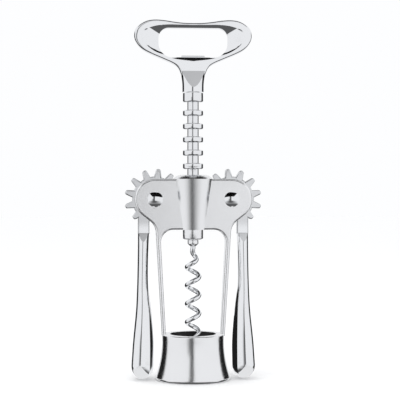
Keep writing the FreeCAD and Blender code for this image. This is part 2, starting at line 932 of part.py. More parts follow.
def opening_corners():
    """The through opening, with its round corners split where the dish's creases meet it."""
    wide = opening_half_width
    top, foot = opening_top, opening_foot
    brow, jaw = cell("opening_top_round"), cell("opening_foot_round")
    brow_x = wide - brow + brow * cosine(25)
    brow_z = top - brow + brow * sine(25)
    jaw_x = wide - jaw + jaw * cosine(45)
    jaw_z = foot + jaw - jaw * sine(45)
    return [
        (brow - wide, top),
        (wide - brow, top, -brow),
        (brow_x, brow_z, -brow),
        (wide, top - brow),
        (wide, foot + jaw, -jaw),
        (jaw_x, jaw_z, -jaw),
        (wide - jaw, foot),
        (jaw - wide, foot, -jaw),
        (-jaw_x, jaw_z, -jaw),
        (-wide, foot + jaw),
        (-wide, top - brow, -brow),
        (-brow_x, brow_z, -brow),
    ]


def make_crown():
    """Turning handle: a flat plate with a cap lifter in a dish, on a round neck."""
    body = new_body("crown_handle")
    lobe = cell("crown_lobe_radius")
    lobe_x = dish_half_width + cell("crown_side_width") - lobe
    side_slope = cell("crown_side_angle")
    top_slope = cell("crown_top_angle")
    dip_x = cell("crown_dip_half_width")
    seat = crown_seat
    neck_top = seat + cell("neck_length")
    high_x = lobe_x - lobe * sine(top_slope)
    high_z = opening_top + cell("crown_top_height")
    lobe_z = high_z - lobe * cosine(top_slope)
    dip_radius = dip_x / sine(top_slope)
    dip_z = high_z - (high_x - dip_x) * tangent(top_slope)
    low_x = lobe_x + lobe * sine(side_slope)
    low_z = lobe_z - lobe * cosine(side_slope)
    fillet = cell("crown_neck_fillet")
    neck = cell("neck_top_radius")
    neck_slope = cell("crown_neck_angle")
    fillet_x = neck + fillet * (sine(neck_slope) - sine(side_slope))
    fillet_z = low_z - (low_x - fillet_x) * tangent(side_slope)
    fillet_foot = fillet_z - fillet * (cosine(side_slope) - cosine(neck_slope))
    tail_x = neck * 0.7
    tail_z = fillet_foot - neck * 0.25
    sketch = new_sketch(body, "front", "XZ_Plane")
    outline(
        sketch,
        [
            (-dip_x, dip_z, dip_radius),
            (dip_x, dip_z),
            (high_x, high_z, -lobe),
            (lobe_x + lobe, lobe_z, -lobe),
            (low_x, low_z),
            (fillet_x, fillet_z, fillet),
            (neck, fillet_foot),
            (tail_x, tail_z),
            (-tail_x, tail_z),
            (-neck, fillet_foot, fillet),
            (-fillet_x, fillet_z),
            (-low_x, low_z, -lobe),
            (-(lobe_x + lobe), lobe_z, -lobe),
            (-high_x, high_z),
        ],
    )
    plate = both_ways(body, "Pad", "plate", sketch, cell("crown_thickness"))

    def on_the_rim(edge):
        ends = ends_of(edge)
        one_face = len(ends) == 2 and abs(ends[0].y - ends[1].y) < 0.01
        return one_face and all(p.z > fillet_foot.number - 0.01 for p in ends)

    rounded(body, "rim_round", plate, cell("crown_round"), on_the_rim)

    # Round neck, its flat faces and the slanted facets between them
    foot_radius = cell("neck_foot_radius")
    waist_z = seat + cell("neck_straight_height")
    chamfer = cell("neck_foot_chamfer")
    swell, climb = neck - foot_radius, fillet_foot - waist_z
    neck_bend = (swell * swell + climb * climb) / (2 * swell)
    sketch = new_sketch(body, "neck", "XZ_Plane")
    outline(
        sketch,
        [
            (0, seat),
            (foot_radius - chamfer, seat),
            (foot_radius, seat + chamfer),
            (foot_radius, waist_z, -neck_bend),
            (neck, fillet_foot),
            (0, fillet_foot + neck * 0.6),
        ],
    )
    turned(body, "Revolution", "round_neck", sketch)
    half = cell("crown_thickness") / 2
    facet_foot = neck_top - cell("neck_facet_length") * 1.3
    facet_out = half + (foot_radius - half) * 1.3
    clear = neck * 2
    sketch = new_sketch(body, "facets", "YZ_Plane")
    for way in (1, -1):
        cut = [
            (half * way, neck_top),
            (facet_out * way, facet_foot),
            (clear * way, facet_foot),
            (clear * way, fillet_foot + neck),
            (half * way, fillet_foot + neck),
        ]
        outline(sketch, cut)
    both_ways(body, "Pocket", "neck_facets", sketch, neck * 4)

    # Dish on both faces, then the opening and the cap lifter's lip
    web = cell("opening_web") / 2
    for name, way in (("front", 1), ("back", -1)):
        wide = new_sketch(body, f"dish_{name}", "XZ_Plane", half * way)
        outline(wide, dish_corners())
        narrow = new_sketch(body, f"web_{name}", "XZ_Plane", web * way)
        outline(narrow, opening_corners())
        dish = body.newObject("PartDesign::SubtractiveLoft", f"{body.Label}_dish_{name}_cut")
        dish.Profile = wide
        dish.Sections = [narrow]
        dish.Ruled = True
    sketch = new_sketch(body, "opening", "XZ_Plane")
    outline(sketch, opening_corners())
    both_ways(body, "Pocket", "opening_cut", sketch, cell("crown_thickness") * 2)
    lip = cell("lip_half_width")
    lip_top = opening_foot + cell("lip_height")
    lip_foot = opening_foot - web
    sketch = new_sketch(body, "lip", "XZ_Plane")
    outline(
        sketch,
        [
            (-lip, lip_foot),
            (lip, lip_foot),
            (lip - cell("lip_draft"), lip_top),
            (cell("lip_draft") - lip, lip_top),
        ],
    )
    both_ways(body, "Pad", "lifter_lip", sketch, cell("opening_web"))

    # Socket of the spindle's tenon, and the cross hole of its pin
    sketch = new_sketch(body, "socket", "XZ_Plane")
    socket = cell("tenon_radius") + seat_gap
    socket_top = seat + cell("tenon_length") + seat_gap
    below = seat - socket
    outline(sketch, [(0, below), (socket, below), (socket, socket_top), (0, socket_top)])
    turned(body, "Groove", "tenon_socket", sketch)
    sketch = new_sketch(body, "pin", "YZ_Plane")
    disc(sketch, 0, crown_pin_height, cell("cross_pin_radius") + seat_gap)
    both_ways(body, "Pocket", "pin_hole", sketch, neck * 4)
    return body


def worm_turns():
    """Turns from the tip to where the wire is back on the axis, under the ferrule."""
    return (ferrule_foot.number - worm_tip_height.number) / cell("worm_pitch").number


def worm_point(turn):
    """A place on the worm's centre line, a number of turns above its tip."""
    pitch = cell("worm_pitch").number
    runout = cell("worm_runout").number / pitch
    share = min(max((worm_turns() - turn) / runout, 0.0), 1.0)
    swing = cell("worm_radius").number * share * share * (3 - 2 * share)
    angle = math.radians(-90) + 2 * math.pi * turn
    height = worm_tip_height.number + pitch * turn
    return FreeCAD.Vector(swing * math.cos(angle), swing * math.sin(angle), height)


def worm_heading(turn):
    """Direction of the centre line."""
    step = 1e-4
    ahead = worm_point(min(turn + step, worm_turns()))
    return (ahead - worm_point(turn - step)).normalize()


def half_arc(start, corner, end):
    """The arc that is tangent to both legs of a corner at equal distances from it."""
    middle = (start + end) / 2
    rise = (corner - middle).Length
    run = (start - middle).Length
    if rise < 1e-6:
        return Part.LineSegment(start, end).toShape()
    lift = run * math.tan(math.atan2(rise, run) / 2)
    top = middle + (corner - middle) * (lift / rise)
    return Part.Arc(start, top, end).toShape()


def two_arcs(start, start_way, end, end_way):
    """Two tangent arcs from one place and direction to another."""
    chord = end - start
    ways = start_way + end_way
    spread = 2 * (1 - start_way.dot(end_way))
    lean = chord.dot(ways)
    if spread < 1e-9:
        reach = chord.dot(chord) / (2 * lean)
    else:
        reach = (math.sqrt(lean * lean + spread * chord.dot(chord)) - lean) / spread
    first = start + start_way * reach
    second = end - end_way * reach
    joint = (first + second) / 2
    return [half_arc(start, first, joint), half_arc(joint, second, end)]


def make_worm():
    """The helix, one unbroken tube with a straight shank and a tapered point."""
    turns = worm_turns()
    steps = math.ceil(turns * 4)
    marks = [turns * i / steps for i in range(steps + 1)]
    edges = []
    for low, high in zip(marks, marks[1:]):
        start, end = worm_point(low), worm_point(high)
        start_way = worm_heading(low)
        end_way = FreeCAD.Vector(0, 0, 1) if high == marks[-1] else worm_heading(high)
        edges += two_arcs(start, start_way, end, end_way)
    top = worm_point(turns)
    shank_end = FreeCAD.Vector(0, 0, (shank_top - seat_gap).number)
    edges.append(Part.LineSegment(top, shank_end).toShape())
    taper, body = Part.Wire(edges[:2]), Part.Wire(edges[2:])
    wire = cell("wire_radius").number
    tip = cell("worm_tip_radius").number
    starts = []
    for path, radii in ((taper, (tip, wire)), (body, (wire,))):
        first, last = path.Edges[0], path.Edges[-1]
        rings = []
        for edge, at, radius in zip((first, last), ("First", "Last"), radii):
            mark = edge.FirstParameter if at == "First" else edge.LastParameter
            circle = Part.Circle(edge.valueAt(mark), edge.tangentAt(mark), radius)
            rings.append(Part.Wire(circle.toShape()))
        starts.append(path.makePipeShell(rings, True, False))
    solid = starts[0].fuse(starts[1]).removeSplitter()
    pin = (cell("worm_pin_radius") + seat_gap).number
    pin_start = FreeCAD.Vector(-2 * wire, 0, worm_pin_height.number)
    solid = solid.cut(Part.makeCylinder(pin, 4 * wire, pin_start, FreeCAD.Vector(1, 0, 0)))
    worm = doc.addObject("Part::Feature", "worm")
    worm.Label = "worm"
    worm.Shape = solid.Solids[0] if len(solid.Solids) == 1 else solid
    return worm


def worm_gap():
    """Least gap between neighbouring turns of the wire, measured on points."""
    places = [worm_point(i / 48) for i in range(int(worm_turns() * 48))]
    gap = math.inf
    for index, place in enumerate(places):
        for other in places[index + 24:]:
            gap = min(gap, place.distanceToPoint(other))
    return gap - 2 * cell("wire_radius").number


sub_parts = [
    make_frame(),
    make_lever("lever_left", -1),
    make_lever("lever_right", 1),
    make_pivot_post("pivot_post_left", -1),
    make_pivot_post("pivot_post_right", 1),
    make_pivot_cap("pivot_cap_left", -1),
    make_pivot_cap("pivot_cap_right", 1),
    make_spindle(),
    make_crown(),
    make_pin(
        "crown_cross_pin",
        cell("cross_pin_radius"),
        2 * (cell("neck_foot_radius") - cell("pin_inset")),
        crown_pin_height,
    ),
    make_bush(),
    make_pin(
        "worm_cross_pin",
        cell("worm_pin_radius"),
        2 * (journal_radius - cell("pin_inset")),
        worm_pin_height,
    ),
    make_ferrule(),
    make_worm(),
]
doc.recompute()

for thing in doc.Objects:
    if "Invalid" in thing.State or "Error" in thing.State:
        raise RuntimeError(f"{thing.Name} failed: {thing.State}")
for sub_part in sub_parts:
    if sub_part.Shape.isNull() or not sub_part.Shape.isValid():
        raise RuntimeError(f"{sub_part.Label} has no valid shape")
    sub_part.Shape.exportStep(f"parts/{sub_part.Label}.step")
    solids = len(sub_part.Shape.Solids)
    print(f"{sub_part.Label}: {solids} solid, {sub_part.Shape.Volume:.1f} mm3")
print(f"least gap between the worm's turns: {worm_gap():.2f} mm")
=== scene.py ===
"""Wing corkscrew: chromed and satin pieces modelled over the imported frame."""

import math

import bmesh
import bpy
from bpy.props import FloatProperty, FloatVectorProperty, IntProperty, PointerProperty
from mathutils import Matrix, Vector


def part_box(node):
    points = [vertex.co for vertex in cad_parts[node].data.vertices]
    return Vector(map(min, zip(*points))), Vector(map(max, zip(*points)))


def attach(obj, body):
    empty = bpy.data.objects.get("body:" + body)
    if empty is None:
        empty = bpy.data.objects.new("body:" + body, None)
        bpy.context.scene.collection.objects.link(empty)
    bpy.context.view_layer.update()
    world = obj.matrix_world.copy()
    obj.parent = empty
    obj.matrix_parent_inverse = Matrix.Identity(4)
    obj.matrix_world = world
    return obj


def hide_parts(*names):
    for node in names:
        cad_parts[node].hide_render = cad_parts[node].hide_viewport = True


bl_info = {
    "name": "Wing Corkscrew",
    "version": (1, 0, 0),
    "blender": (4, 5, 0),
    "location": "3D View > Sidebar > Corkscrew",
    "description": "Models and finishes the pieces of a wing corkscrew",
    "category": "Object",
}

MM = 0.001
SLIP = 0.02 * MM  # between a stem and its hole
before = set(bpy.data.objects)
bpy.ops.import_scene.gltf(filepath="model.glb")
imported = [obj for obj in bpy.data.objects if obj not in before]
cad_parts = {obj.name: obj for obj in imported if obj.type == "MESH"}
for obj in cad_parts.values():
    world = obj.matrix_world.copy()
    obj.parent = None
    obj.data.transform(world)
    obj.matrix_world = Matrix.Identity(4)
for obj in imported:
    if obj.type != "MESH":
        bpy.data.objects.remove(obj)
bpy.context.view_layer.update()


def length(name, default_mm, description):
    """A length property, given in millimetres and kept in metres."""
    return FloatProperty(
        name=name, description=description, default=default_mm * MM, unit="LENGTH", precision=5
    )


def share(name, default, description):
    """A property between nothing and one."""
    return FloatProperty(
        name=name, description=description, default=default, min=0, max=1, subtype="FACTOR"
    )


def angle(name, default_degrees, description):
    """An angle property, given in degrees."""
    turn = math.radians(default_degrees)
    return FloatProperty(name=name, description=description, default=turn, subtype="ANGLE")


def tint(name, default, description):
    """A colour property."""
    return FloatVectorProperty(
        name=name, description=description, default=default, size=3, min=0, max=1, subtype="COLOR"
    )


class SpindleSettings(bpy.types.PropertyGroup):
    """Sizes of the ringed spindle."""

    stem: length("Stem", 3.03, "Radius of the stem between the rings")
    ring: length("Ring", 5.45, "Radius of the rings and the collar")
    ring_height: length("Ring height", 3.2, "Height of one ring")
    pitch: length("Pitch", 7.0, "Height from one ring to the next")
    rings: IntProperty(name="Rings", description="How many rings the rack has", default=9)
    top_ring: length("Top ring", 140.9, "Height of the top ring's middle")
    collar_foot: length("Collar foot", 146.6, "Height of the collar's lower face")
    seat: length("Seat", 152.0, "Height of the collar's upper face, where the crown sits")
    tenon: length("Tenon", 2.4, "Radius of the tenon inside the crown")
    tenon_top: length("Tenon top", 161.5, "Height of the tenon's end")
    journal: length("Journal", 2.3, "Radius of the journal inside the bush")
    journal_foot: length("Journal foot", 73.9, "Height of the journal's lower end")
    edge: length("Edge", 0.75, "Rounding of the rings' edges")


class GuideSettings(bpy.types.PropertyGroup):
    """Sizes of the guide bush and the worm's ferrule."""

    bush: length("Bush", 5.45, "Outer radius of the guide bush")
    bush_bore: length("Bush bore", 2.38, "Radius of the bush's bore")
    bush_foot: length("Bush foot", 74.2, "Height of the bush's lower face")
    bush_top: length("Bush top", 83.0, "Height of the bush's upper face")
    chamfer: length("Chamfer", 0.5, "Chamfer of the bush's ends")
    ferrule: length("Ferrule", 2.9, "Outer radius of the ferrule")
    ferrule_foot: length("Ferrule foot", 70.5, "Height of the ferrule's lower face")


class WormSettings(bpy.types.PropertyGroup):
    """Sizes of the helix."""

    wire: length("Wire", 1.3, "Radius of the wire")
    coil: length("Coil", 3.2, "Radius of the helix's centre line")
    pitch: length("Pitch", 9.75, "Height of one turn")
    runout: length("Run-out", 12.0, "Height over which the wire leaves the axis")
    tip: length("Tip", 23.0, "Height of the point")
    point: length("Point", 0.25, "Radius of the point")
    taper: length("Taper", 4.2, "Height over which the wire thins to the point")
    neck: length("Neck", 70.5, "Height at which the wire is back on the axis")
    shank: length("Shank", 81.48, "Height of the shank's end")


class RivetSettings(bpy.types.PropertyGroup):
    """Sizes of the two pivot rivets."""

    offset: length("Offset", 20.2, "Distance of each pivot from the spindle's axis")
    height: length("Height", 95.4, "Height of the pivots")
    depth: length("Depth", 10.4, "Depth of the yoke between the heads")
    head: length("Head", 4.05, "Radius of a head")
    rise: length("Rise", 1.5, "Height of a head")
    post: length("Post", 2.1, "Radius of the hollow post")
    stem: length("Stem", 1.25, "Radius of the cap's stem")


class LeverSettings(bpy.types.PropertyGroup):
    """Sizes of the levers, from the pivot."""

    thickness: length("Plate", 4.6, "Thickness of the gear plate")
    root: length("Root radius", 12.0, "Radius at the foot of the teeth")
    tip: length("Tip radius", 16.1, "Radius over the teeth")
    tooth: length("Tooth foot", 4.3, "Width of a tooth at its foot")
    crest: length("Tooth crest", 2.5, "Width of a tooth under its crest")
    step: angle("Step", 27.692, "Angle from one tooth to the next")
    inner: length("Inner edge", 2.9, "Inner edge of the flat root")
    outer: length("Outer edge", 9.0, "Outer edge of the flat root")
    ledge: length("Ledge", 17.9, "Drop from the pivot to the ledge over the grip's facet")
    facet: length("Facet", 3.25, "Half depth of the facet at its ledge")
    rim: length("Rim", 0.55, "Rounding of the plate's rim")
    heel: length("Heel", 87.4, "Drop from the pivot to where the grip's end begins")
    end: length("End", 7.4, "Length of the grip's rounded end")


class CrownSettings(bpy.types.PropertyGroup):
    """Sizes of the turning handle."""

    thickness: length("Thickness", 6.2, "Thickness of the handle's plate")
    rim: length("Rim", 2.75, "Depth of the rounding of the plate's rim")
    rim_width: length("Rim width", 1.35, "Width of the rounding of the plate's rim")
    web: length("Web", 1.8, "Thickness at the opening's edge")
    ledge: length("Ledge", 0.2, "Depth of the step round the dish")
    opening: length("Opening", 18.3, "Half the opening's width")
    opening_top: length("Opening top", 185.7, "Height of the opening's upper edge")
    opening_foot: length("Opening foot", 170.3, "Height of the opening's lower edge")
    brow: length("Brow", 5.3, "Radius of the opening's upper corners")
    jaw: length("Jaw", 7.4, "Radius of the opening's lower corners")
    dish: length("Dish", 26.8, "Half the dish's width")
    lip: length("Lip", 6.5, "Half the width of the lifter's lip")
    lip_height: length("Lip height", 0.9, "Height of the lifter's lip")
    crease: length("Crease", 163.0, "Height of the crease over the neck's facet")
    facet: length("Facet", 8.6, "Height of the neck's facet")
    neck: length("Neck", 5.75, "Radius of the neck's foot")
    neck_top: length("Neck top", 6.85, "Radius of the neck where it meets the plate")
    facets_in: length("Facet foot", 5.75, "Half depth of the facet at its foot")


class FinishSettings(bpy.types.PropertyGroup):
    """Colours and polish of the metals."""

    chrome: tint("Chrome", (0.9, 0.91, 0.93), "Colour of the polished chrome")
    steel: tint("Steel", (0.88, 0.89, 0.91), "Colour of the turned steel")
    satin: tint("Satin", (0.9, 0.905, 0.92), "Colour of the satin casting")
    # Above this height the levers' colour is darkened, painted shade on the gear plates, and the
    # soft step paints a highlight band just above it.
    plate_foot: length("Plate foot", 79.5, "Height below which the levers are bright grips")
    chrome_polish: share("Chrome roughness", 0.045, "Roughness of the polished chrome")
    steel_polish: share("Steel roughness", 0.07, "Roughness of the turned steel")
    satin_polish: share("Satin roughness", 0.16, "Roughness of the turned boss and bell")
    blasted_polish: share("Blasted roughness", 0.2, "Roughness of the yoke's and legs' faces")
    bush_polish: share("Bush roughness", 0.19, "Roughness of the bush")


class StageSettings(bpy.types.PropertyGroup):
    """Camera, floor and light."""

    distance: length("Distance", 650.0, "Distance from the spindle's axis to the camera")
    height: length("Camera height", 100.0, "Height of the camera above the floor")
    azimuth: angle("Azimuth", -4.0, "Direction of the camera, from straight in front")
    view: angle("View", 18.5, "Angle of view")
    aim: length("Aim", 95.0, "Height that the camera looks at")
    aside: length("Aside", 3.7, "How far right of the axis the camera looks")
    floor: tint("Floor", (1.0, 1.0, 1.0), "Colour of the floor")


def settings(context, part):
    """The scene's settings for one group of pieces."""
    return getattr(context.scene, f"corkscrew_{part}")


def held(value):
    """A value kept between nothing and one."""
    return min(max(value, 0.0), 1.0)


# Nodes


class Wiring:
    """Adds nodes to a tree and links them, from left to right."""

    def __init__(self, tree):
        self.tree = tree
        self.column = 0

    def add(self, kind, inputs=(), **values):
        """A node with some of its properties set and some of its inputs linked or filled."""
        node = self.tree.nodes.new(kind)
        self.column += 190
        node.location = (self.column, -40 * (len(self.tree.nodes) % 5))
        for name, value in values.items():
            setattr(node, name, value)
        for name, value in dict(inputs).items():
            self.feed(node, name, value)
        return node

    def feed(self, node, name, value):
        """Link a socket to one of a node's inputs, or write a value there."""
        if isinstance(value, bpy.types.NodeSocket):
            self.tree.links.new(value, node.inputs[name])
        else:
            node.inputs[name].default_value = value

    def math(self, operation, first, second=0.0, third=0.0, clamp=False):
        """The result of one sum."""
        node = self.add("ShaderNodeMath", {0: first, 1: second, 2: third}, operation=operation)
        node.use_clamp = clamp
        return node.outputs[0]

    def slope(self, value, start, end, low=0.0, high=1.0):
        """A smooth change from one level to another as a value goes from start to end."""
        node = self.add(
            "ShaderNodeMapRange",
            {"Value": value, "From Min": start, "From Max": end, "To Min": low, "To Max": high},
            interpolation_type="SMOOTHSTEP",
        )
        return node.outputs["Result"]

    def fall(self, value, start, end):
        """A smooth change from one to nothing as a value goes from start to end."""
        return self.slope(value, start, end, 1.0, 0.0)

    def product(self, *factors):
        """Several factors multiplied."""
        result = factors[0]
        for factor in factors[1:]:
            result = self.math("MULTIPLY", result, factor)
        return result

    def noise(self, vector, scale, detail, roughness, distortion=0.0):
        """The level of a noise."""
        inputs = {"Vector": vector, "Scale": scale, "Detail": detail}
        inputs |= {"Roughness": roughness, "Distortion": distortion}
        return self.add("ShaderNodeTexNoise", inputs).outputs["Fac"]

    def bump(self, height, strength, distance):
        """The normal of a surface with a relief."""
        inputs = {"Height": height, "Strength": strength, "Distance": distance}
        return self.add("ShaderNodeBump", inputs).outputs["Normal"]

    def tinted(self, colour, tone):
        """A colour made lighter or darker."""
        scaled = self.add("ShaderNodeVectorMath", {0: colour, "Scale": tone}, operation="SCALE")
        return scaled.outputs[0]


def new_group(name, inputs, outputs):
    """An empty shader group, its wiring and its ends. A socket without a default is a vector."""
    tree = bpy.data.node_groups.new(name, "ShaderNodeTree")
    for way, sockets in (("INPUT", inputs), ("OUTPUT", outputs)):
        for socket, default in sockets.items():
            kind = "NodeSocketVector" if default is None else "NodeSocketFloat"
            made = tree.interface.new_socket(name=socket, in_out=way, socket_type=kind)
            if default is not None:
                made.default_value = default
    ends = tree.nodes.new("NodeGroupInput"), tree.nodes.new("NodeGroupOutput")
    return tree, Wiring(tree), ends


def handling_group():
    """Faint smudges and the slight waviness of polished metal."""
    found = bpy.data.node_groups.get("handling")
    if found:
        return found
    inputs = {"Vector": None, "Roughness": 0.05, "Smudge": 0.03, "Waviness": 0.02}
    outputs = {"Roughness": 0.0, "Normal": None}
    tree, wiring, (start, end) = new_group("handling", inputs, outputs)
    vector, roughness, smudge, waviness = (start.outputs[name] for name in inputs)
    smears = wiring.noise(vector, 120.0, 4.0, 0.6, 0.8)
    level = wiring.math("SUBTRACT", smears, 0.45, clamp=True)
    wiring.feed(end, "Roughness", wiring.math("ADD", roughness, wiring.product(level, smudge)))
    waves = wiring.noise(vector, 70.0, 1.0, 0.4)
    wiring.feed(end, "Normal", wiring.bump(waves, waviness, 2 * MM))
    return tree


def grain_group():
    """Fine grain of blasted or brushed metal, drawn out along one axis by its stretch."""
    found = bpy.data.node_groups.get("grain")
    if found:
        return found
    inputs = {"Vector": None, "Stretch": None, "Roughness": 0.2, "Spread": 0.05, "Depth": 0.1}
    outputs = {"Shade": 0.0, "Roughness": 0.0, "Normal": None}
    tree, wiring, (start, end) = new_group("grain", inputs, outputs)
    vector, stretch, roughness, spread, depth = (start.outputs[name] for name in inputs)
    drawn = wiring.add("ShaderNodeVectorMath", {0: vector, 1: stretch}, operation="MULTIPLY")
    fine = wiring.noise(drawn.outputs[0], 1800.0, 3.0, 0.65)
    broad = wiring.noise(vector, 60.0, 2.0, 0.5)
    speckle = wiring.math("SUBTRACT", fine, 0.5)
    cloud = wiring.product(wiring.math("SUBTRACT", broad, 0.5), 0.06)
    shade = wiring.math("ADD", wiring.product(speckle, 0.1), cloud)
    wiring.feed(end, "Shade", wiring.math("ADD", shade, 1.0))
    wiring.feed(end, "Roughness", wiring.math("ADD", roughness, wiring.product(speckle, spread)))
    wiring.feed(end, "Normal", wiring.bump(fine, depth, 0.4 * MM))
    return tree


def new_material(name):
    """An empty metal with its shader, its wiring and its place on the piece."""
    material = bpy.data.materials.new(name)
    material.use_nodes = True
    material.node_tree.nodes.clear()
    wiring = Wiring(material.node_tree)
    place = wiring.add("ShaderNodeTexCoord")
    shader = wiring.add("ShaderNodeBsdfPrincipled", {"Metallic": 1.0})
    wiring.add("ShaderNodeOutputMaterial", {"Surface": shader.outputs[0]})
    return material, wiring, place.outputs["Object"], shader


def surfaced(wiring, shader, tree, inputs):
    """A shader group that gives a shader its roughness and its normal."""
    group = wiring.add("ShaderNodeGroup", inputs, node_tree=tree)
    for name in ("Roughness", "Normal"):
        wiring.feed(shader, name, group.outputs[name])
    return group


def polished(name, colour, roughness, waviness, dull_and_shaded_above=None):
    """Polished chrome or steel; above some height a little rougher, and darker in colour as painted
    shade.
    """
    material, wiring, place, shader = new_material(name)
    shader.inputs["Base Color"].default_value = (*colour, 1)
    if dull_and_shaded_above:
        height = wiring.add("ShaderNodeSeparateXYZ", {0: place}).outputs[2]
        # Painted shade: the colour darkens by 17 percent above this height, and the soft 5 mm step
        # leaves the part below it brighter, a painted highlight band.
        top = wiring.slope(height, dull_and_shaded_above, dull_and_shaded_above + 5 * MM)
        tone = wiring.math("MULTIPLY_ADD", top, -0.17, 1.0)
        wiring.feed(shader, "Base Color", wiring.tinted(colour, tone))
        roughness = wiring.math("MULTIPLY_ADD", top, 0.06, roughness)
    inputs = {"Vector": place, "Roughness": roughness, "Smudge": 0.06, "Waviness": waviness}
    surfaced(wiring, shader, handling_group(), inputs)
    return material


def satin(name, colour, roughness, stretch, depth, blasted=None):
    """Satin metal with a grain, and with the casting's zones if its blasted faces are given."""
    material, wiring, place, shader = new_material(name)
    tone = 1.0
    if blasted is not None:
        roughness, tone = casting_zones(wiring, place, roughness, blasted)
    inputs = {"Vector": place, "Stretch": stretch, "Roughness": roughness}
    inputs |= {"Spread": 0.08, "Depth": depth}
    grain = surfaced(wiring, shader, grain_group(), inputs)
    tone = wiring.product(grain.outputs["Shade"], tone)
    wiring.feed(shader, "Base Color", wiring.tinted(colour, tone))
    return material


def casting_zones(wiring, place, bell, blasted):
    """Roughness and shade: a smooth bell, a brushed boss, blasted faces, and a near-black colour
    inside the bell that is painted shade.
    """
    across, depth, height = wiring.add("ShaderNodeSeparateXYZ", {0: place}).outputs
    proud = wiring.math("GREATER_THAN", wiring.math("ABSOLUTE", depth), 5.3 * MM)
    dome = wiring.math("GREATER_THAN", height, 106.3 * MM)
    boss = wiring.math("MAXIMUM", proud, dome)
    rough = wiring.math("MULTIPLY_ADD", boss, bell * 1.5 - blasted, blasted)
    low = wiring.math("LESS_THAN", height, 24.1 * MM)
    rough = wiring.math("MULTIPLY_ADD", low, wiring.math("SUBTRACT", bell, rough), rough)

    # Painted shade inside the bell: its inner wall, which widens towards its foot, is coloured near
    # black
    squares = (wiring.math("POWER", side, 2.0) for side in (across, depth))
    radius = wiring.math("SQRT", wiring.math("ADD", *squares))
    above = wiring.math("MAXIMUM", wiring.math("SUBTRACT", 12.0 * MM, height), 0.0)
    wall = wiring.math("MULTIPLY_ADD", above, 0.17, 15.5 * MM)
    inside = wiring.product(low, wiring.math("LESS_THAN", radius, wall))
    rough = wiring.math("MULTIPLY_ADD", inside, 0.3, rough)
    # The tone is near black inside the bell: painted shade.
    return rough, wiring.math("MULTIPLY_ADD", inside, -0.965, 1.0)


def metal(context, name):
    """One of the corkscrew's metals, made when a piece first asks for it."""
    found = bpy.data.materials.get(name)
    if found:
        return found
    finish = settings(context, "finish")
    chrome, gloss = finish.chrome, finish.chrome_polish
    if name == "polished_chrome":
        return polished(name, chrome, gloss, 0.03)
    # The levers' chrome is rougher on the gear plates, and darkened there with painted shade.
    if name == "lever_chrome_painted_shade":
        return polished(name, chrome, gloss * 2, 0.03, finish.plate_foot)
    if name == "turned_steel":
        return polished(name, finish.steel, finish.steel_polish, 0.015)
    if name == "satin_bush":
        return satin(name, finish.satin, finish.bush_polish, (0.12, 0.12, 1.6), 0.08)
    even = (1, 1, 1)
    return satin(name, finish.satin, finish.satin_polish, even, 0.05, finish.blasted_polish)


# Shapes


def plane_faces(bm, least):
    """The faces that lie in one plane with others, over at least so many square millimetres."""
    found, seen = set(), set()
    for start in bm.faces:
        if start in seen:
            continue
        group, waiting = {start}, [start]
        while waiting:
            for edge in waiting.pop().edges:
                if len(edge.link_faces) == 2 and edge.calc_face_angle(1.0) < 0.001:
                    fresh = [face for face in edge.link_faces if face not in group]
                    group.update(fresh)
                    waiting += fresh
        seen |= group
        if sum(face.calc_area() for face in group) > least * MM * MM:
            found |= group
    return found


def placed(bm, name):
    """A new object in the scene, with the mesh of a shape."""
    mesh = bpy.data.meshes.new(name)
    bm.to_mesh(mesh)
    bm.free()
    made = bpy.data.objects.new(name, mesh)
    bpy.context.scene.collection.objects.link(made)
    return made


def finished(bm, name, body, nodes, material, crease=32.0, flat=None):
    """A smooth-shaded piece with sharp edges at creases and round many-sided or wide flat faces."""
    limit = math.radians(crease)
    planes = plane_faces(bm, flat) if flat else set()
    for face in bm.faces:
        face.smooth = True
    for edge in bm.edges:
        sides = edge.link_faces
        curved = len(sides) == 2 and edge.calc_face_angle(0.0) < limit
        edge.smooth = curved and all(len(face.verts) < 7 for face in sides)
        if len(planes.intersection(sides)) == 1:
            edge.smooth = False
    piece = placed(bm, name)
    piece.data.materials.append(material)
    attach(piece, body)
    if nodes:
        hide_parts(*nodes)
    return piece


def merged(node):
    """A node's mesh with its loose triangles joined."""
    bm = bmesh.new()
    bm.from_mesh(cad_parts[node].data)
    bmesh.ops.remove_doubles(bm, verts=bm.verts, dist=2e-6)
    return bm


def hard_edges(bm):
    """The edges at which a shape turns sharply."""
    return [e for e in bm.edges if len(e.link_faces) == 2 and e.calc_face_angle(0) > 0.6]


def rounded(bm, edges, offset, segments):
    """Round some edges of a shape."""
    bmesh.ops.bevel(
        bm,
        geom=edges,
        offset=offset,
        affect="EDGES",
        segments=segments,
        profile=0.5,
        material=-1,
    )
    bmesh.ops.recalc_face_normals(bm, faces=bm.faces)


def turned_shape(profile, steps=96, edge=0.0):
    """A shape turned about the Z axis from (radius, height) corners, its hard edges rounded."""
    bm = bmesh.new()
    corners = [bm.verts.new((radius, 0, height)) for radius, height in profile]
    rims = [bm.edges.new(pair) for pair in zip(corners, corners[1:] + corners[:1])]
    bmesh.ops.spin(
        bm,
        geom=corners + rims,
        cent=(0, 0, 0),
        axis=(0, 0, 1),
        angle=math.tau,
        steps=steps,
        use_merge=True,
    )
    bmesh.ops.remove_doubles(bm, verts=bm.verts, dist=1e-6)
    if edge:
        rounded(bm, hard_edges(bm), edge, 2)
    bmesh.ops.recalc_face_normals(bm, faces=bm.faces)
    return bm


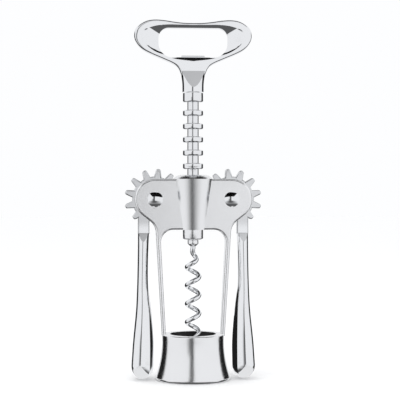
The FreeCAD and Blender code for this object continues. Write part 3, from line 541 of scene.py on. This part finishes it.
def drawn_tube(stations, sides=24):
    """A tube drawn through (place, direction, radius) stations, closed at both ends."""
    bm = bmesh.new()
    side = Vector((1, 0, 0))
    before = None
    for place, heading, radius in stations:
        side = (side - heading * side.dot(heading)).normalized()
        turn = Matrix((side, heading.cross(side), heading)).transposed().to_4x4()
        ring = bmesh.ops.create_circle(
            bm,
            cap_ends=False,
            segments=sides,
            radius=radius,
            matrix=Matrix.Translation(place) @ turn,
        )["verts"]
        rims = list({e for v in ring for e in v.link_edges})
        if before:
            bmesh.ops.bridge_loops(bm, edges=before + rims)
        before = rims
    open_rims = [e for e in bm.edges if len(e.link_faces) == 1]
    bmesh.ops.holes_fill(bm, edges=open_rims, sides=sides)
    bmesh.ops.recalc_face_normals(bm, faces=bm.faces)
    return bm


def skin(rings, closed=False):
    """A surface through rings of equally many points, each extruded from the one before."""
    bm = bmesh.new()
    ring = bmesh.ops.create_circle(bm, segments=len(rings[0]), radius=1)["verts"]
    rims = list(bm.edges)
    for vert, place in zip(ring, rings[0]):
        vert.co = place
    for places in rings[1:]:
        grown = bmesh.ops.extrude_edge_only(bm, edges=rims)["geom"]
        before = {tuple(vert.co): index for index, vert in enumerate(ring)}
        fresh = [g for g in grown if isinstance(g, bmesh.types.BMVert)]
        ring = sorted(fresh, key=lambda vert: before[tuple(vert.co)])
        new = set(ring)
        rims = [g for g in grown if isinstance(g, bmesh.types.BMEdge) and new.issuperset(g.verts)]
        for vert, place in zip(ring, places):
            vert.co = place
    if closed:
        bmesh.ops.remove_doubles(bm, verts=bm.verts, dist=1e-6)
    else:
        open_rims = [e for e in bm.edges if len(e.link_faces) == 1]
        bmesh.ops.holes_fill(bm, edges=open_rims, sides=0)
    bmesh.ops.recalc_face_normals(bm, faces=bm.faces)
    return bm


def rounded_plate(outline, half, rim, steps=4):
    """An upright plate with a rounded rim, from (x, z) corners."""
    bm = bmesh.new()
    face = bm.faces.new([bm.verts.new((x, rim - half, z)) for x, z in outline])
    back = bmesh.ops.extrude_face_region(bm, geom=[face])["geom"]
    moved = [g for g in back if isinstance(g, bmesh.types.BMVert)]
    bmesh.ops.translate(bm, vec=(0, 2 * (half - rim), 0), verts=moved)
    bmesh.ops.recalc_face_normals(bm, faces=bm.faces)
    sides = [f for f in bm.faces if abs(f.normal.y) > 0.9]
    for step in range(steps):
        now, then = (math.pi / 2 * (step + i) / steps for i in (0, 1))
        bmesh.ops.inset_individual(
            bm,
            faces=sides,
            thickness=rim * (math.cos(now) - math.cos(then)),
            depth=rim * (math.sin(then) - math.sin(now)),
            use_even_offset=True,
        )
    bmesh.ops.recalc_face_normals(bm, faces=bm.faces)
    return bm


def sliced(bm, place, outwards):
    """Cut off what lies outside a plane and close the cut."""
    geom = [*bm.verts, *bm.edges, *bm.faces]
    cut = bmesh.ops.bisect_plane(
        bm, geom=geom, plane_co=place, plane_no=outwards, clear_outer=True, dist=1e-7
    )["geom_cut"]
    rims = [g for g in cut if isinstance(g, bmesh.types.BMEdge)]
    bmesh.ops.holes_fill(bm, edges=rims, sides=0)


def joined(*shapes):
    """Several shapes in one mesh."""
    whole = bmesh.new()
    for bm in shapes:
        part = bpy.data.meshes.new("part")
        bm.to_mesh(part)
        bm.free()
        whole.from_mesh(part)
        bpy.data.meshes.remove(part)
    return whole


def smooth_run(knots, place):
    """The values at a place on smooth curves through (place, values) knots."""
    last = len(knots) - 1
    at = max(0, min(last - 1, sum(knot[0] <= place for knot in knots) - 1))
    (low, start), (high, stop) = knots[at], knots[at + 1]
    span = high - low
    part = held((place - low) / span)
    run = []
    for index, (first, second) in enumerate(zip(start, stop)):
        pulls = []
        for knot in (at, at + 1):
            left, right = knots[max(knot - 1, 0)], knots[min(knot + 1, last)]
            pulls.append((right[1][index] - left[1][index]) / (right[0] - left[0]) * span)
        cube, square = part**3, part**2
        run.append(
            (2 * cube - 3 * square + 1) * first
            + (cube - 2 * square + part) * pulls[0]
            + (3 * square - 2 * cube) * second
            + (cube - square) * pulls[1]
        )
    return run


# Operators


class CORKSCREW_OT_stage(bpy.types.Operator):
    """Set up the camera, the floor and the studio"""

    bl_idname = "corkscrew.stage"
    bl_label = "Stage"

    def execute(self, context):
        stage = settings(context, "stage")
        scene = context.scene
        scene.view_settings.view_transform = "Standard"
        front = Vector((math.sin(stage.azimuth), -math.cos(stage.azimuth), 0))
        right = Vector((-front.y, front.x, 0))
        lens = bpy.data.cameras.new("camera")
        lens.sensor_width = 36
        lens.angle = stage.view
        lens.clip_start = 0.01
        camera = bpy.data.objects.new("camera", lens)
        camera.location = front * stage.distance + Vector((0, 0, stage.height))
        target = right * stage.aside + Vector((0, 0, stage.aim))
        camera.rotation_euler = (target - camera.location).to_track_quat("-Z", "Y").to_euler()
        scene.collection.objects.link(camera)
        scene.camera = camera

        floor = self.add_sheet("floor", (0, 0, 0), (8000, 8000), stage.floor)
        floor.visible_glossy = False

        # Cards that only the metal mirrors: one under each grip, and a black one over the rivets
        for name, place, size, glow in (
            ("bounce_card_left", (-34, -31.5, -0.2), (26, 69), 0.84),
            ("bounce_card_right", (34, -31.5, -0.2), (26, 69), 0.84),
            ("flag_card", (0, -29, 112), (72, 30), 0.0),
        ):
            card = self.add_sheet(name, place, size, (0, 0, 0), glow)
            card.visible_camera = card.visible_diffuse = card.visible_shadow = False

        lamp = bpy.data.lights.new("overhead", "AREA")
        lamp.shape = "RECTANGLE"
        lamp.size, lamp.size_y = 0.7, 0.5
        lamp.energy = 1.4
        overhead = bpy.data.objects.new("overhead", lamp)
        overhead.location = (-0.15, -0.25, 0.8)
        down = Vector((0, 0, 0.09)) - overhead.location
        overhead.rotation_euler = down.to_track_quat("-Z", "Y").to_euler()
        overhead.visible_glossy = False
        scene.collection.objects.link(overhead)
        self.light_studio(scene, front, right)
        return {"FINISHED"}

    def add_sheet(self, name, place, size, colour, glow=0.0):
        """A level sheet of dull paint on the stage, placed in millimetres."""
        bm = bmesh.new()
        bmesh.ops.create_grid(bm, x_segments=1, y_segments=1, size=0.5)
        bmesh.ops.scale(bm, vec=(size[0] * MM, size[1] * MM, 1), verts=bm.verts)
        bmesh.ops.translate(bm, vec=Vector(place) * MM, verts=bm.verts)
        sheet = placed(bm, name)
        paint = bpy.data.materials.new(f"{name}_paint")
        paint.use_nodes = True
        inputs = paint.node_tree.nodes["Principled BSDF"].inputs
        inputs["Base Color"].default_value = (*colour, 1)
        inputs["Roughness"].default_value = 1.0
        inputs["Specular IOR Level"].default_value = 0.0
        inputs["Emission Color"].default_value = (1, 1, 1, 1)
        inputs["Emission Strength"].default_value = glow
        sheet.data.materials.append(paint)
        return sheet

    def light_studio(self, scene, front, right):
        """White to the eye, and to metal two walls of light with a dark gap between them."""
        world = bpy.data.worlds.new("studio")
        world.use_nodes = True
        world.node_tree.nodes.clear()
        scene.world = world
        wiring = Wiring(world.node_tree)
        ray = wiring.add("ShaderNodeTexCoord").outputs["Generated"]
        ahead, across = (
            wiring.add("ShaderNodeVectorMath", {0: ray, 1: way}, operation="DOT_PRODUCT").outputs[1]
            for way in (front, right)
        )
        rise = wiring.add("ShaderNodeSeparateXYZ", {0: ray}).outputs[2]
        height = wiring.math("DEGREES", wiring.math("ARCSINE", rise))
        side = wiring.math("DEGREES", wiring.math("ARCTAN2", across, ahead))
        turn = wiring.math("ABSOLUTE", side)
        aside = wiring.math("ABSOLUTE", across)
        low = wiring.fall(height, -13.0, -9.5)

        # Dark flats stand behind on both sides, with light between them, and a dark roof behind
        flats = wiring.product(
            wiring.slope(wiring.math("MULTIPLY_ADD", low, 9.0, turn), 107.0, 112.0),
            wiring.fall(turn, 146.0, 153.0),
            wiring.fall(height, 11.0, 18.0),
        )
        roof = wiring.product(
            wiring.fall(ahead, 0.16, 0.26),
            wiring.slope(height, 44.0, 50.0),
            wiring.fall(aside, 0.75, 0.92),
        )
        far = wiring.math("MAXIMUM", flats, roof)

        # In front is a soft dark gap, which stops short of what the flat faces mirror
        high = wiring.slope(height, 28.0, 34.0, 0.08, 0.33)
        inner = wiring.math("MULTIPLY_ADD", low, 0.82, high)
        outer = wiring.math("MULTIPLY_ADD", wiring.slope(height, 2.4, 4.0), 0.2, -0.46)
        outer = wiring.math("MULTIPLY_ADD", low, -0.42, outer)
        deep = wiring.product(
            wiring.slope(height, 26.0, 34.0, 0.88, 0.55),
            wiring.fall(height, 44.0, 50.0),
            wiring.slope(height, -34.0, -24.0),
        )
        gap = wiring.product(
            wiring.fall(across, 0.02, inner),
            wiring.slope(across, outer, -0.1),
            deep,
            wiring.math("GREATER_THAN", ahead, -0.3),
        )

        # The ground in front is darker than the walls
        ground = wiring.product(
            wiring.slope(height, -40.0, -17.0, 0.88, 0.0),
            wiring.slope(ahead, -0.5, -0.25),
            wiring.fall(aside, 0.65, 0.9),
        )

        level = 0.9
        for shade in (wiring.product(far, 0.985), gap, ground):
            level = wiring.product(level, wiring.math("SUBTRACT", 1.0, shade))
        mirrored = wiring.add("ShaderNodeLightPath").outputs["Is Glossy Ray"]
        inputs = {"Factor": mirrored, "A": 1.0, "B": level}
        shown = wiring.add("ShaderNodeMix", inputs, data_type="FLOAT")
        inputs = {"Color": (0.985, 0.99, 1.0, 1), "Strength": shown.outputs[0]}
        background = wiring.add("ShaderNodeBackground", inputs)
        wiring.add("ShaderNodeOutputWorld", {"Surface": background.outputs[0]})


class CORKSCREW_OT_casting(bpy.types.Operator):
    """Finish the casting of yoke, legs and bell"""

    bl_idname = "corkscrew.casting"
    bl_label = "Casting"

    def execute(self, context):
        bm = merged("frame")
        cast = metal(context, "satin_casting")
        casting = finished(bm, "casting", "frame", ["frame"], cast, flat=60.0)
        casting.visible_glossy = False
        return {"FINISHED"}


class CORKSCREW_OT_levers(bpy.types.Operator):
    """Model the two levers, each a gear plate and a grip"""

    bl_idname = "corkscrew.levers"
    bl_label = "Levers"

    # Drop from the pivot; then outer edge, inner edge, edge of the front face and half depth
    # in millimetres, and the flat share of the outer side and of the inner flank
    stations = [
        (13.4, (9.0, 2.9, 3.0, 4.9, 0.2, 0.5)),
        (28.0, (9.15, 3.5, 3.6, 4.9, 0.12, 0.45)),
        (44.0, (9.5, 3.5, 3.8, 5.2, 0.15, 0.5)),
        (58.0, (10.1, 1.9, 3.2, 6.2, 0.25, 0.7)),
        (75.0, (11.7, 0.6, 2.75, 7.6, 0.36, 0.78)),
        (87.4, (12.5, 0.7, 2.8, 8.0, 0.4, 0.78)),
    ]

    def gear_outline(self, lever):
        """The plate's outline about its pivot: ten teeth and the flat root."""
        outline = []
        slope = (lever.tooth - lever.crest) / 2 / (lever.tip - 0.8 * MM - lever.root * 0.9)
        for index in range(10):
            stub = index == 9
            angle = math.pi + lever.step * (-8 if stub else 1 - index)
            tip = lever.tip - (0.9 * MM if stub else 0)
            shoulder = tip - 0.8 * MM
            foot = lever.tooth / 2 - slope * lever.root * 0.085
            crown = [(lever.root * 0.985, foot), (shoulder, lever.crest / 2)]
            crown += [(tip - 0.35 * MM, lever.crest * 0.4), (tip - 0.08 * MM, lever.crest * 0.22)]
            tooth = [*crown, (tip, 0), *((out, -aside) for out, aside in reversed(crown))]
            if stub:
                tooth = tooth[:-1]
            along = Vector((math.cos(angle), math.sin(angle)))
            across = Vector((-along.y, along.x))
            outline += [along * out + across * aside for out, aside in tooth]
            if not stub:
                for part in (0.36, 0.5, 0.64):
                    turn = angle - lever.step * part
                    outline.append(Vector((math.cos(turn), math.sin(turn))) * lever.root)
        low = -lever.ledge - 0.4 * MM
        outline += [Vector((lever.outer, -9.95 * MM)), Vector((lever.outer, low))]
        outline += [Vector((lever.inner, low))]
        start = -math.acos(lever.inner / lever.root)
        stop = math.pi + lever.step * 1.36 - math.tau
        for index in range(7):
            turn = start + (stop - start) * index / 6
            outline.append(Vector((math.cos(turn), math.sin(turn))) * lever.root)
        return outline

    def level(self, drop, shrink=1.0):
        """The grip's section at a drop from the pivot."""
        outer, inner, front, depth, flat, flank = smooth_run(self.stations, drop)
        crest = (outer + front) / 2
        middle = (outer + inner) / 2
        quarter = [(outer, depth * flat * index / 4) for index in range(4)]
        for index in range(13):
            turn = math.pi / 2 * index / 12
            rise = depth * (flat + (1 - flat) * math.sin(turn))
            quarter.append((crest + (outer - crest) * math.cos(turn), rise))
        for index in range(1, 9):
            part = index / 8
            rise = depth * (1 - (1 - flank) * part**2)
            quarter.append((crest + (front - crest) * part, rise))
        for index in range(1, 8):
            part = index / 8
            quarter.append((front + (inner - front) * part, depth * flank * (1 - part) ** 0.85))
        ring = [*quarter, (inner, 0.0), *((x, -y) for x, y in reversed(quarter[1:]))]
        return [
            Vector((middle + (x - middle) * shrink, y * shrink, -drop)) * MM for x, y in ring
        ]

    def execute(self, context):
        lever = settings(context, "lever")
        rivet = settings(context, "rivet")
        start, heel, end = (size / MM for size in (lever.ledge, lever.heel, lever.end))
        drops = [start + (heel - start) * index / 36 for index in range(37)]
        rings = [self.level(drop) for drop in drops]
        for turn in (math.radians(7.4 * index) for index in range(1, 13)):
            rings.append(self.level(heel + end * math.sin(turn), math.cos(turn)))
        tilt = math.atan2(1.6, 4.3)
        bright = metal(context, "lever_chrome_painted_shade")
        for side, way in (("left", -1), ("right", 1)):
            plate = rounded_plate(self.gear_outline(lever), lever.thickness / 2, lever.rim)
            grip = skin(rings)
            for face in (1, -1):
                place = (0, lever.facet * face, -lever.ledge)
                sliced(grip, place, (0, math.cos(tilt) * face, math.sin(tilt)))
            bmesh.ops.recalc_face_normals(grip, faces=grip.faces)
            bm = joined(plate, grip)
            bmesh.ops.scale(bm, vec=(way, 1, 1), verts=bm.verts)
            place = (rivet.offset * way, 0, rivet.height)
            bmesh.ops.translate(bm, vec=place, verts=bm.verts)
            if way < 0:
                bmesh.ops.reverse_faces(bm, faces=bm.faces)
            node = f"lever_{side}"
            wing = finished(bm, f"wing_{side}", node, [node], bright, crease=26)
            wing.visible_glossy = False
        return {"FINISHED"}


class CORKSCREW_OT_rivets(bpy.types.Operator):
    """Turn the pivot rivets"""

    bl_idname = "corkscrew.rivets"
    bl_label = "Rivets"

    def head(self, rivet):
        """The dome of a head, from its rim to its crest."""
        rim = 0.35 * MM
        rise = rivet.rise - rim
        radius = (rivet.head**2 + rise**2) / (2 * rise)
        span = math.asin(rivet.head / radius)
        arc = [span * (1 - i / 10) for i in range(11)]
        return [(radius * math.sin(a), rivet.rise - radius + radius * math.cos(a)) for a in arc]

    def turned(self, profile, place, facing):
        """A turned half of a rivet, whose head faces the front (-1) or the back (1)."""
        bm = turned_shape(profile, 64)
        tilt = Matrix.Rotation(math.radians(-90 * facing), 4, "X")
        bm.transform(Matrix.Translation(place) @ tilt)
        return bm

    def execute(self, context):
        rivet = settings(context, "rivet")
        steel = metal(context, "turned_steel")
        hollow, foot = rivet.stem + SLIP, -rivet.depth * 0.8
        post = [(hollow, -rivet.depth), (rivet.post, -rivet.depth), (rivet.post, 0)]
        post += [(rivet.head, 0), *self.head(rivet), (0, 0), (hollow, 0)]
        cap = [(0, foot), (rivet.stem, foot), (rivet.stem, 0), (rivet.head, 0)]
        cap += self.head(rivet)
        for side, way in (("left", -1), ("right", 1)):
            across, depth = rivet.offset * way, rivet.depth / 2
            bm = self.turned(post, (across, -depth, rivet.height), -1)
            node = f"pivot_post_{side}"
            finished(bm, f"rivet_head_{side}", "frame", [node], steel)
            bm = self.turned(cap, (across, depth, rivet.height), 1)
            node = f"pivot_cap_{side}"
            finished(bm, f"rivet_cap_{side}", "frame", [node], steel)
        return {"FINISHED"}


class CORKSCREW_OT_spindle(bpy.types.Operator):
    """Turn the ringed spindle"""

    bl_idname = "corkscrew.spindle"
    bl_label = "Spindle"

    def execute(self, context):
        rack = settings(context, "spindle")
        worm = settings(context, "worm")
        half = rack.ring_height / 2
        profile = [(0, rack.tenon_top), (rack.tenon, rack.tenon_top), (rack.tenon, rack.seat)]
        profile += [(rack.ring, rack.seat), (rack.ring, rack.collar_foot)]
        profile += [(rack.stem, rack.collar_foot)]
        for index in range(rack.rings):
            middle = rack.top_ring - rack.pitch * index
            inner = rack.journal if index == rack.rings - 1 else rack.stem
            profile += [(rack.stem, middle + half), (rack.ring, middle + half)]
            profile += [(rack.ring, middle - half), (inner, middle - half)]
        hole = worm.wire + SLIP
        profile += [(rack.journal, rack.journal_foot), (hole, rack.journal_foot)]
        profile += [(hole, worm.shank + SLIP), (0, worm.shank + SLIP)]
        bm = turned_shape(profile)
        wide = rack.ring - 0.05 * MM
        rims = [e for e in hard_edges(bm) if min(v.co.xy.length for v in e.verts) > wide]
        rounded(bm, rims, rack.edge, 4)
        steel = metal(context, "turned_steel")
        finished(bm, "ringed_spindle", "spindle", ["spindle"], steel)
        return {"FINISHED"}


class CORKSCREW_OT_guide(bpy.types.Operator):
    """Turn the guide bush and the ferrule, and cut the two locking pins"""

    bl_idname = "corkscrew.guide"
    bl_label = "Bush, ferrule and pins"

    def execute(self, context):
        guide = settings(context, "guide")
        rack = settings(context, "spindle")
        worm = settings(context, "worm")
        outer, bore, cut = guide.bush, guide.bush_bore, guide.chamfer
        profile = [
            (bore, guide.bush_foot),
            (outer - cut, guide.bush_foot),
            (outer, guide.bush_foot + cut),
            (outer, guide.bush_top - cut),
            (outer - cut, guide.bush_top),
            (bore, guide.bush_top),
        ]
        bm = turned_shape(profile, edge=0.12 * MM)
        bush = metal(context, "satin_bush")
        finished(bm, "bush_sleeve", "bush", ["guide_bush"], bush)

        hole = worm.wire + SLIP
        profile = [
            (hole, guide.ferrule_foot),
            (hole + 0.28 * MM, guide.ferrule_foot),
            (guide.ferrule, guide.ferrule_foot + 1.3 * MM),
            (guide.ferrule, rack.journal_foot),
            (hole, rack.journal_foot),
        ]
        bm = turned_shape(profile, 72, edge=0.12 * MM)
        finished(bm, "ferrule_sleeve", "spindle", ["worm_ferrule"], bush)

        steel = metal(context, "turned_steel")
        for node, name in (("crown_cross_pin", "crown_pin"), ("worm_cross_pin", "worm_pin")):
            low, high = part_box(node)
            radius = (high.z - low.z) / 2
            bm = bmesh.new()
            bmesh.ops.create_cone(
                bm,
                cap_ends=True,
                segments=32,
                radius1=radius,
                radius2=radius,
                depth=high.x - low.x,
                matrix=Matrix.Translation((low + high) / 2) @ Matrix.Rotation(math.pi / 2, 4, "Y"),
            )
            rounded(bm, hard_edges(bm), 0.1 * MM, 2)
            finished(bm, name, "spindle", [node], steel)
        return {"FINISHED"}


class CORKSCREW_OT_worm(bpy.types.Operator):
    """Draw the helix and its shank"""

    bl_idname = "corkscrew.worm"
    bl_label = "Worm"

    def place(self, worm, turn, turns):
        """A place on the centre line, a number of turns above the point."""
        part = held((turns - turn) * worm.pitch / worm.runout)
        swing = worm.coil * part * part * (3 - 2 * part)
        angle = math.tau * turn - math.pi / 2
        return Vector(
            (swing * math.cos(angle), swing * math.sin(angle), worm.tip + worm.pitch * turn)
        )

    def execute(self, context):
        worm = settings(context, "worm")
        turns = (worm.neck - worm.tip) / worm.pitch
        count = 48 * math.ceil(turns)
        stations = []
        for index in range(count + 1):
            turn = turns * index / count
            ahead = self.place(worm, turn + 0.001, turns)
            heading = (ahead - self.place(worm, turn - 0.001, turns)).normalized()
            grown = min(1.0, turn * worm.pitch / worm.taper)
            radius = worm.point + (worm.wire - worm.point) * math.sin(grown * math.pi / 2)
            stations.append((self.place(worm, turn, turns), heading, radius))
        stations.append((Vector((0, 0, worm.shank)), Vector((0, 0, 1)), worm.wire))
        bm = drawn_tube(stations)
        steel = metal(context, "turned_steel")
        finished(bm, "helix", "spindle", ["worm"], steel, crease=50)
        return {"FINISHED"}


class CORKSCREW_OT_crown(bpy.types.Operator):
    """Model the turning handle: a rounded plate with a dished opening, on a faceted neck"""

    bl_idname = "corkscrew.crown"
    bl_label = "Crown handle"

    # One half of the outline in millimetres, from the middle of its top to that of its foot
    rim_line = [(0.0, 188.55), (5.0, 188.7), (9.8, 189.2), (15.0, 189.95), (19.7, 190.27)]
    rim_line += [(23.5, 189.85), (26.3, 188.8), (28.9, 187.0), (30.6, 184.8), (31.2, 182.0)]
    rim_line += [(30.9, 179.6), (29.8, 177.4), (28.1, 175.3), (25.6, 173.4), (21.6, 171.4)]
    rim_line += [(17.8, 169.8), (14.5, 168.4), (11.3, 167.0), (9.0, 165.6), (7.6, 163.9)]
    rim_line += [(6.9, 162.3), (6.2, 160.6), (3.2, 159.9), (0.0, 159.9)]

    # Points along the slant over the opening, its end, the cheek, the jaw and the foot
    counts = (44, 14, 30, 26, 40)

    def eased(self, places, first=0, last=None):
        """A smooth run through some points, or the part of it between two of them."""
        knots = [(0.0, tuple(places[0]))]
        for before, after in zip(places, places[1:]):
            knots.append((knots[-1][0] + math.dist(before, after), tuple(after)))
        start, stop = knots[first][0], knots[-1 if last is None else last][0]
        total = 12 * len(places)
        return [smooth_run(knots, start + (stop - start) * i / total) for i in range(total + 1)]

    def spaced(self, places, count):
        """Evenly spaced points along a run, without its last one."""
        marks = [0.0]
        for before, after in zip(places, places[1:]):
            marks.append(marks[-1] + math.dist(before, after))
        points = []
        for index in range(count):
            goal = marks[-1] * index / count
            at = max(i for i, mark in enumerate(marks[:-1]) if mark <= goal + 1e-12)
            part = (goal - marks[at]) / (marks[at + 1] - marks[at])
            points.append(Vector(places[at]).lerp(Vector(places[at + 1]), part))
        return points

    def around(self, runs, centre):
        """A closed line from the runs of its right half, each with its count of points."""
        right = [point for run, count in runs for point in self.spaced(run, count)]
        right.append(Vector(runs[-1][0][-1]))
        left = [Vector((-p.x, p.y)) for p in reversed(right[1:-1])]
        return [(p - centre) * MM for p in right + left]

    def reach(self, line, way):
        """How far a closed line lies from the middle in one direction."""
        aside = Vector((-way.y, way.x))
        best = 0.0
        for a, b in zip(line, line[1:] + line[:1]):
            first, second = a.dot(aside), b.dot(aside)
            if (first > 0) != (second > 0):
                best = max(best, a.lerp(b, first / (first - second)).dot(way))
        return best

    def bend(self, centre, radius, start, stop):
        """Points round a corner, between two angles in degrees."""
        turns = [math.radians(start + (stop - start) * i / 12) for i in range(13)]
        return [centre + Vector((math.cos(t), math.sin(t))) * radius for t in turns]

    def dish_lines(self, crown, middle):
        """The edge of the opening, the edge of the dish, and the steepness of its slant."""
        top, foot = crown.opening_top / MM, crown.opening_foot / MM
        wide, dish = crown.opening / MM, crown.dish / MM
        brow_radius, jaw_radius = crown.brow / MM, crown.jaw / MM
        brow = Vector((wide - brow_radius, top - brow_radius))
        jaw = Vector((wide - jaw_radius, foot + jaw_radius))

        # The slant over the opening ends in a crease, where the cheek begins
        slant = [(0, top + 1.6), (7, top + 1.7), (13.9, top + 1.75), (19.5, top + 1.1)]
        slant.append((dish - 3.1, top - 0.1))
        over = self.eased(slant)
        corner = self.bend(brow, brow_radius, 25, 24)[0]
        split = min(range(len(over)), key=lambda at: abs(over[at][0] - corner.x))
        cheek = [slant[-1], (dish - 0.8, top - 1.4), (dish, top - 3.6), (dish - 0.2, foot + 8.6)]
        cheek += [(dish - 2.0, foot + 6.1), (dish - 4.6, foot + 4.0), (dish - 7.5, foot + 2.3)]
        cheek += [(14.3, foot + 0.3), (9, foot - 1.2), (0, foot - 2.2)]
        hole_runs = [
            [(0, top), *self.bend(brow, brow_radius, 90, 25)],
            self.bend(brow, brow_radius, 25, 24.6),
            [*self.bend(brow, brow_radius, 24.6, 0), (wide, foot + jaw_radius)],
            self.bend(jaw, jaw_radius, 0, -50),
            [*self.bend(jaw, jaw_radius, -50, -90), (0, foot)],
        ]
        dish_runs = [over[: split + 1], over[split:]]
        dish_runs += [self.eased(cheek, 0, 3), self.eased(cheek, 3, 6), self.eased(cheek, 6)]
        opening = self.around(list(zip(hole_runs, self.counts)), middle)
        lip = self.around(list(zip(dish_runs, self.counts)), middle)
        fall = (crown.thickness - crown.web) / 2
        return opening, lip, fall / ((over[split][1] - corner.y) * MM)

    def plate(self, crown):
        """The plate: a rounded rim, a flat face and the dish round the opening."""
        half = crown.thickness / 2
        middle = Vector((0, (crown.opening_top + crown.opening_foot) / 2 / MM))
        outer = self.around([(self.eased(self.rim_line), 300)], middle)
        opening, lip, steepness = self.dish_lines(crown, middle)
        slant_end, cheek_start, cheek_end = (sum(self.counts[:runs]) for runs in (1, 2, 3))
        walls, ruled, ledges = [], [], []
        for index, (hole, rim) in enumerate(zip(opening, lip)):
            step = min(index, len(lip) - index)
            sunk = steepness * (rim.y - hole.y) if step < slant_end else half
            walls.append(max(half - sunk, crown.web / 2))
            jaw = held((step - cheek_end) / self.counts[3])
            ruled.append(1.0 if step < cheek_start else jaw)
            ledges.append(held((step - cheek_start) / self.counts[2]) * crown.ledge)
        edge = []
        for place in lip:
            way = place.normalized()
            edge.append(way * self.reach(outer, way))
        inward = []
        for index, place in enumerate(edge):
            along = edge[(index + 1) % len(edge)] - edge[index - 1]
            inward.append(Vector((along.y, -along.x)).normalized())

        def ring(places, depths):
            return [Vector((p.x, -d, p.y + middle.y * MM)) for p, d in zip(places, depths)]

        def bulge(place):
            """The face leans back a little from the crease up to the dish."""
            rise = (place.y + middle.y * MM - crown.crease) / (5.2 * MM)
            side = abs(place.x) / (9.5 * MM)
            if not 0 < rise < 1.4 or side > 1:
                return half
            return half * (1 - 0.06 * min(rise, 1) ** 1.6 * (1 - side * side))

        front = []
        for step in range(10):
            turn = math.pi / 2 * step / 9
            rim_end, depths = [], []
            for place, way, goal in zip(edge, inward, lip):
                rim_width = crown.rim_width * (0.6 + 0.4 * held(place.y / (5 * MM)))
                across, along = rim_width * math.cos(turn), crown.rim * math.sin(turn)
                size = math.hypot(across, along)
                room = (goal - place).length * 0.94
                rim_end.append(place + way * min(rim_width * (1 - across / size), room))
                depths.append(half - crown.rim * (1 - along / size))
            front.append(ring(rim_end, depths))
        for part in (0.25, 0.5, 0.75, 1.0):
            places = [a.lerp(b, part) for a, b in zip(rim_end, lip)]
            front.append(ring(places, [bulge(place) for place in places]))
        dish_width = crown.dish + 0.5 * MM
        for part in (0.0, 0.08, 0.2, 0.4, 0.7, 1.0):
            places, depths = [], []
            for place, hole, wall, straight, ledge in zip(lip, opening, walls, ruled, ledges):
                width = (hole - place).length
                moved = place.lerp(hole, max(part, min(0.06, 0.15 * MM / width)))
                plane = (dish_width - abs(moved.x)) / (dish_width - crown.opening)
                steepest = 0.32 + 0.25 * max(place.y / MM, 0.0)
                plane = min(plane, 1.0, part * width / MM * steepest)
                sunk = part * straight + plane * (1 - straight)
                deep = bulge(place) - ledge
                places.append(moved)
                depths.append(deep + (min(wall, deep) - deep) * sunk)
            front.append(ring(places, depths))
        back = [[Vector((p.x, -p.y, p.z)) for p in points] for points in front]
        return skin([*front, *reversed(back), front[0]], closed=True)

    def neck(self, crown, seat):
        """The neck: turned, then cut by the facets that lead up to the plate."""
        swell = [(0, seat), (crown.neck, seat), (crown.neck, seat + 3 * MM)]
        for part in (index / 8 for index in range(1, 9)):
            out = crown.neck + (crown.neck_top - crown.neck) * part**1.7
            swell.append((out, seat + (3 + 7.9 * part) * MM))
        neck = turned_shape([*swell, (0, swell[-1][1] + 2.6 * MM)])
        half = crown.thickness / 2
        tilt = math.atan2(crown.facets_in - half, crown.facet)
        for face in (1, -1):
            place = (0, half * face, crown.crease)
            sliced(neck, place, (0, math.cos(tilt) * face, math.sin(tilt)))
        bmesh.ops.recalc_face_normals(neck, faces=neck.faces)
        return neck

    def catch(self, crown):
        """The lip that catches a bottle's cap. Its many corners keep its face flat-shaded."""
        low = crown.opening_foot - crown.web * 0.6
        high = crown.opening_foot + crown.lip_height
        narrow = crown.lip - 0.3 * MM
        corners = [(-crown.lip, low), (crown.lip, low), (narrow, high), (-narrow, high)]
        outline = []
        for (x, z), (next_x, next_z) in zip(corners, corners[1:] + corners[:1]):
            outline += [(x, z), ((x + next_x) / 2, (z + next_z) / 2)]
        return rounded_plate(outline, crown.web / 2, 0.4 * MM, 3)

    def execute(self, context):
        crown = settings(context, "crown")
        seat = settings(context, "spindle").seat
        bm = joined(self.plate(crown), self.neck(crown, seat), self.catch(crown))
        bright = metal(context, "polished_chrome")
        handle = finished(bm, "crown", "spindle", ["crown_handle"], bright, 16)
        handle.visible_glossy = False
        return {"FINISHED"}


class CORKSCREW_PT_panel(bpy.types.Panel):
    """Lists the corkscrew's pieces and their sizes"""

    bl_idname = "CORKSCREW_PT_panel"
    bl_label = "Wing Corkscrew"
    bl_space_type = "VIEW_3D"
    bl_region_type = "UI"
    bl_category = "Corkscrew"

    def draw(self, context):
        for operator in OPERATORS:
            self.layout.operator(operator.bl_idname)
        for part, group in GROUPS.items():
            box = self.layout.box()
            box.label(text=group.bl_rna.name)
            for name in group.__annotations__:
                box.prop(settings(context, part), name)


GROUPS = {
    "spindle": SpindleSettings,
    "guide": GuideSettings,
    "worm": WormSettings,
    "rivet": RivetSettings,
    "lever": LeverSettings,
    "crown": CrownSettings,
    "finish": FinishSettings,
    "stage": StageSettings,
}
OPERATORS = (
    CORKSCREW_OT_stage,
    CORKSCREW_OT_casting,
    CORKSCREW_OT_levers,
    CORKSCREW_OT_rivets,
    CORKSCREW_OT_spindle,
    CORKSCREW_OT_guide,
    CORKSCREW_OT_worm,
    CORKSCREW_OT_crown,
)
CLASSES = (*GROUPS.values(), *OPERATORS, CORKSCREW_PT_panel)


def register():
    for made in CLASSES:
        bpy.utils.register_class(made)
    for part, group in GROUPS.items():
        setattr(bpy.types.Scene, f"corkscrew_{part}", PointerProperty(type=group))


def unregister():
    for part in GROUPS:
        delattr(bpy.types.Scene, f"corkscrew_{part}")
    for made in reversed(CLASSES):
        bpy.utils.unregister_class(made)


def main():
    register()
    for operator in OPERATORS:
        call = getattr(bpy.ops.corkscrew, operator.bl_idname.split(".")[1])
        call()


if __name__ == "__main__":
    main()
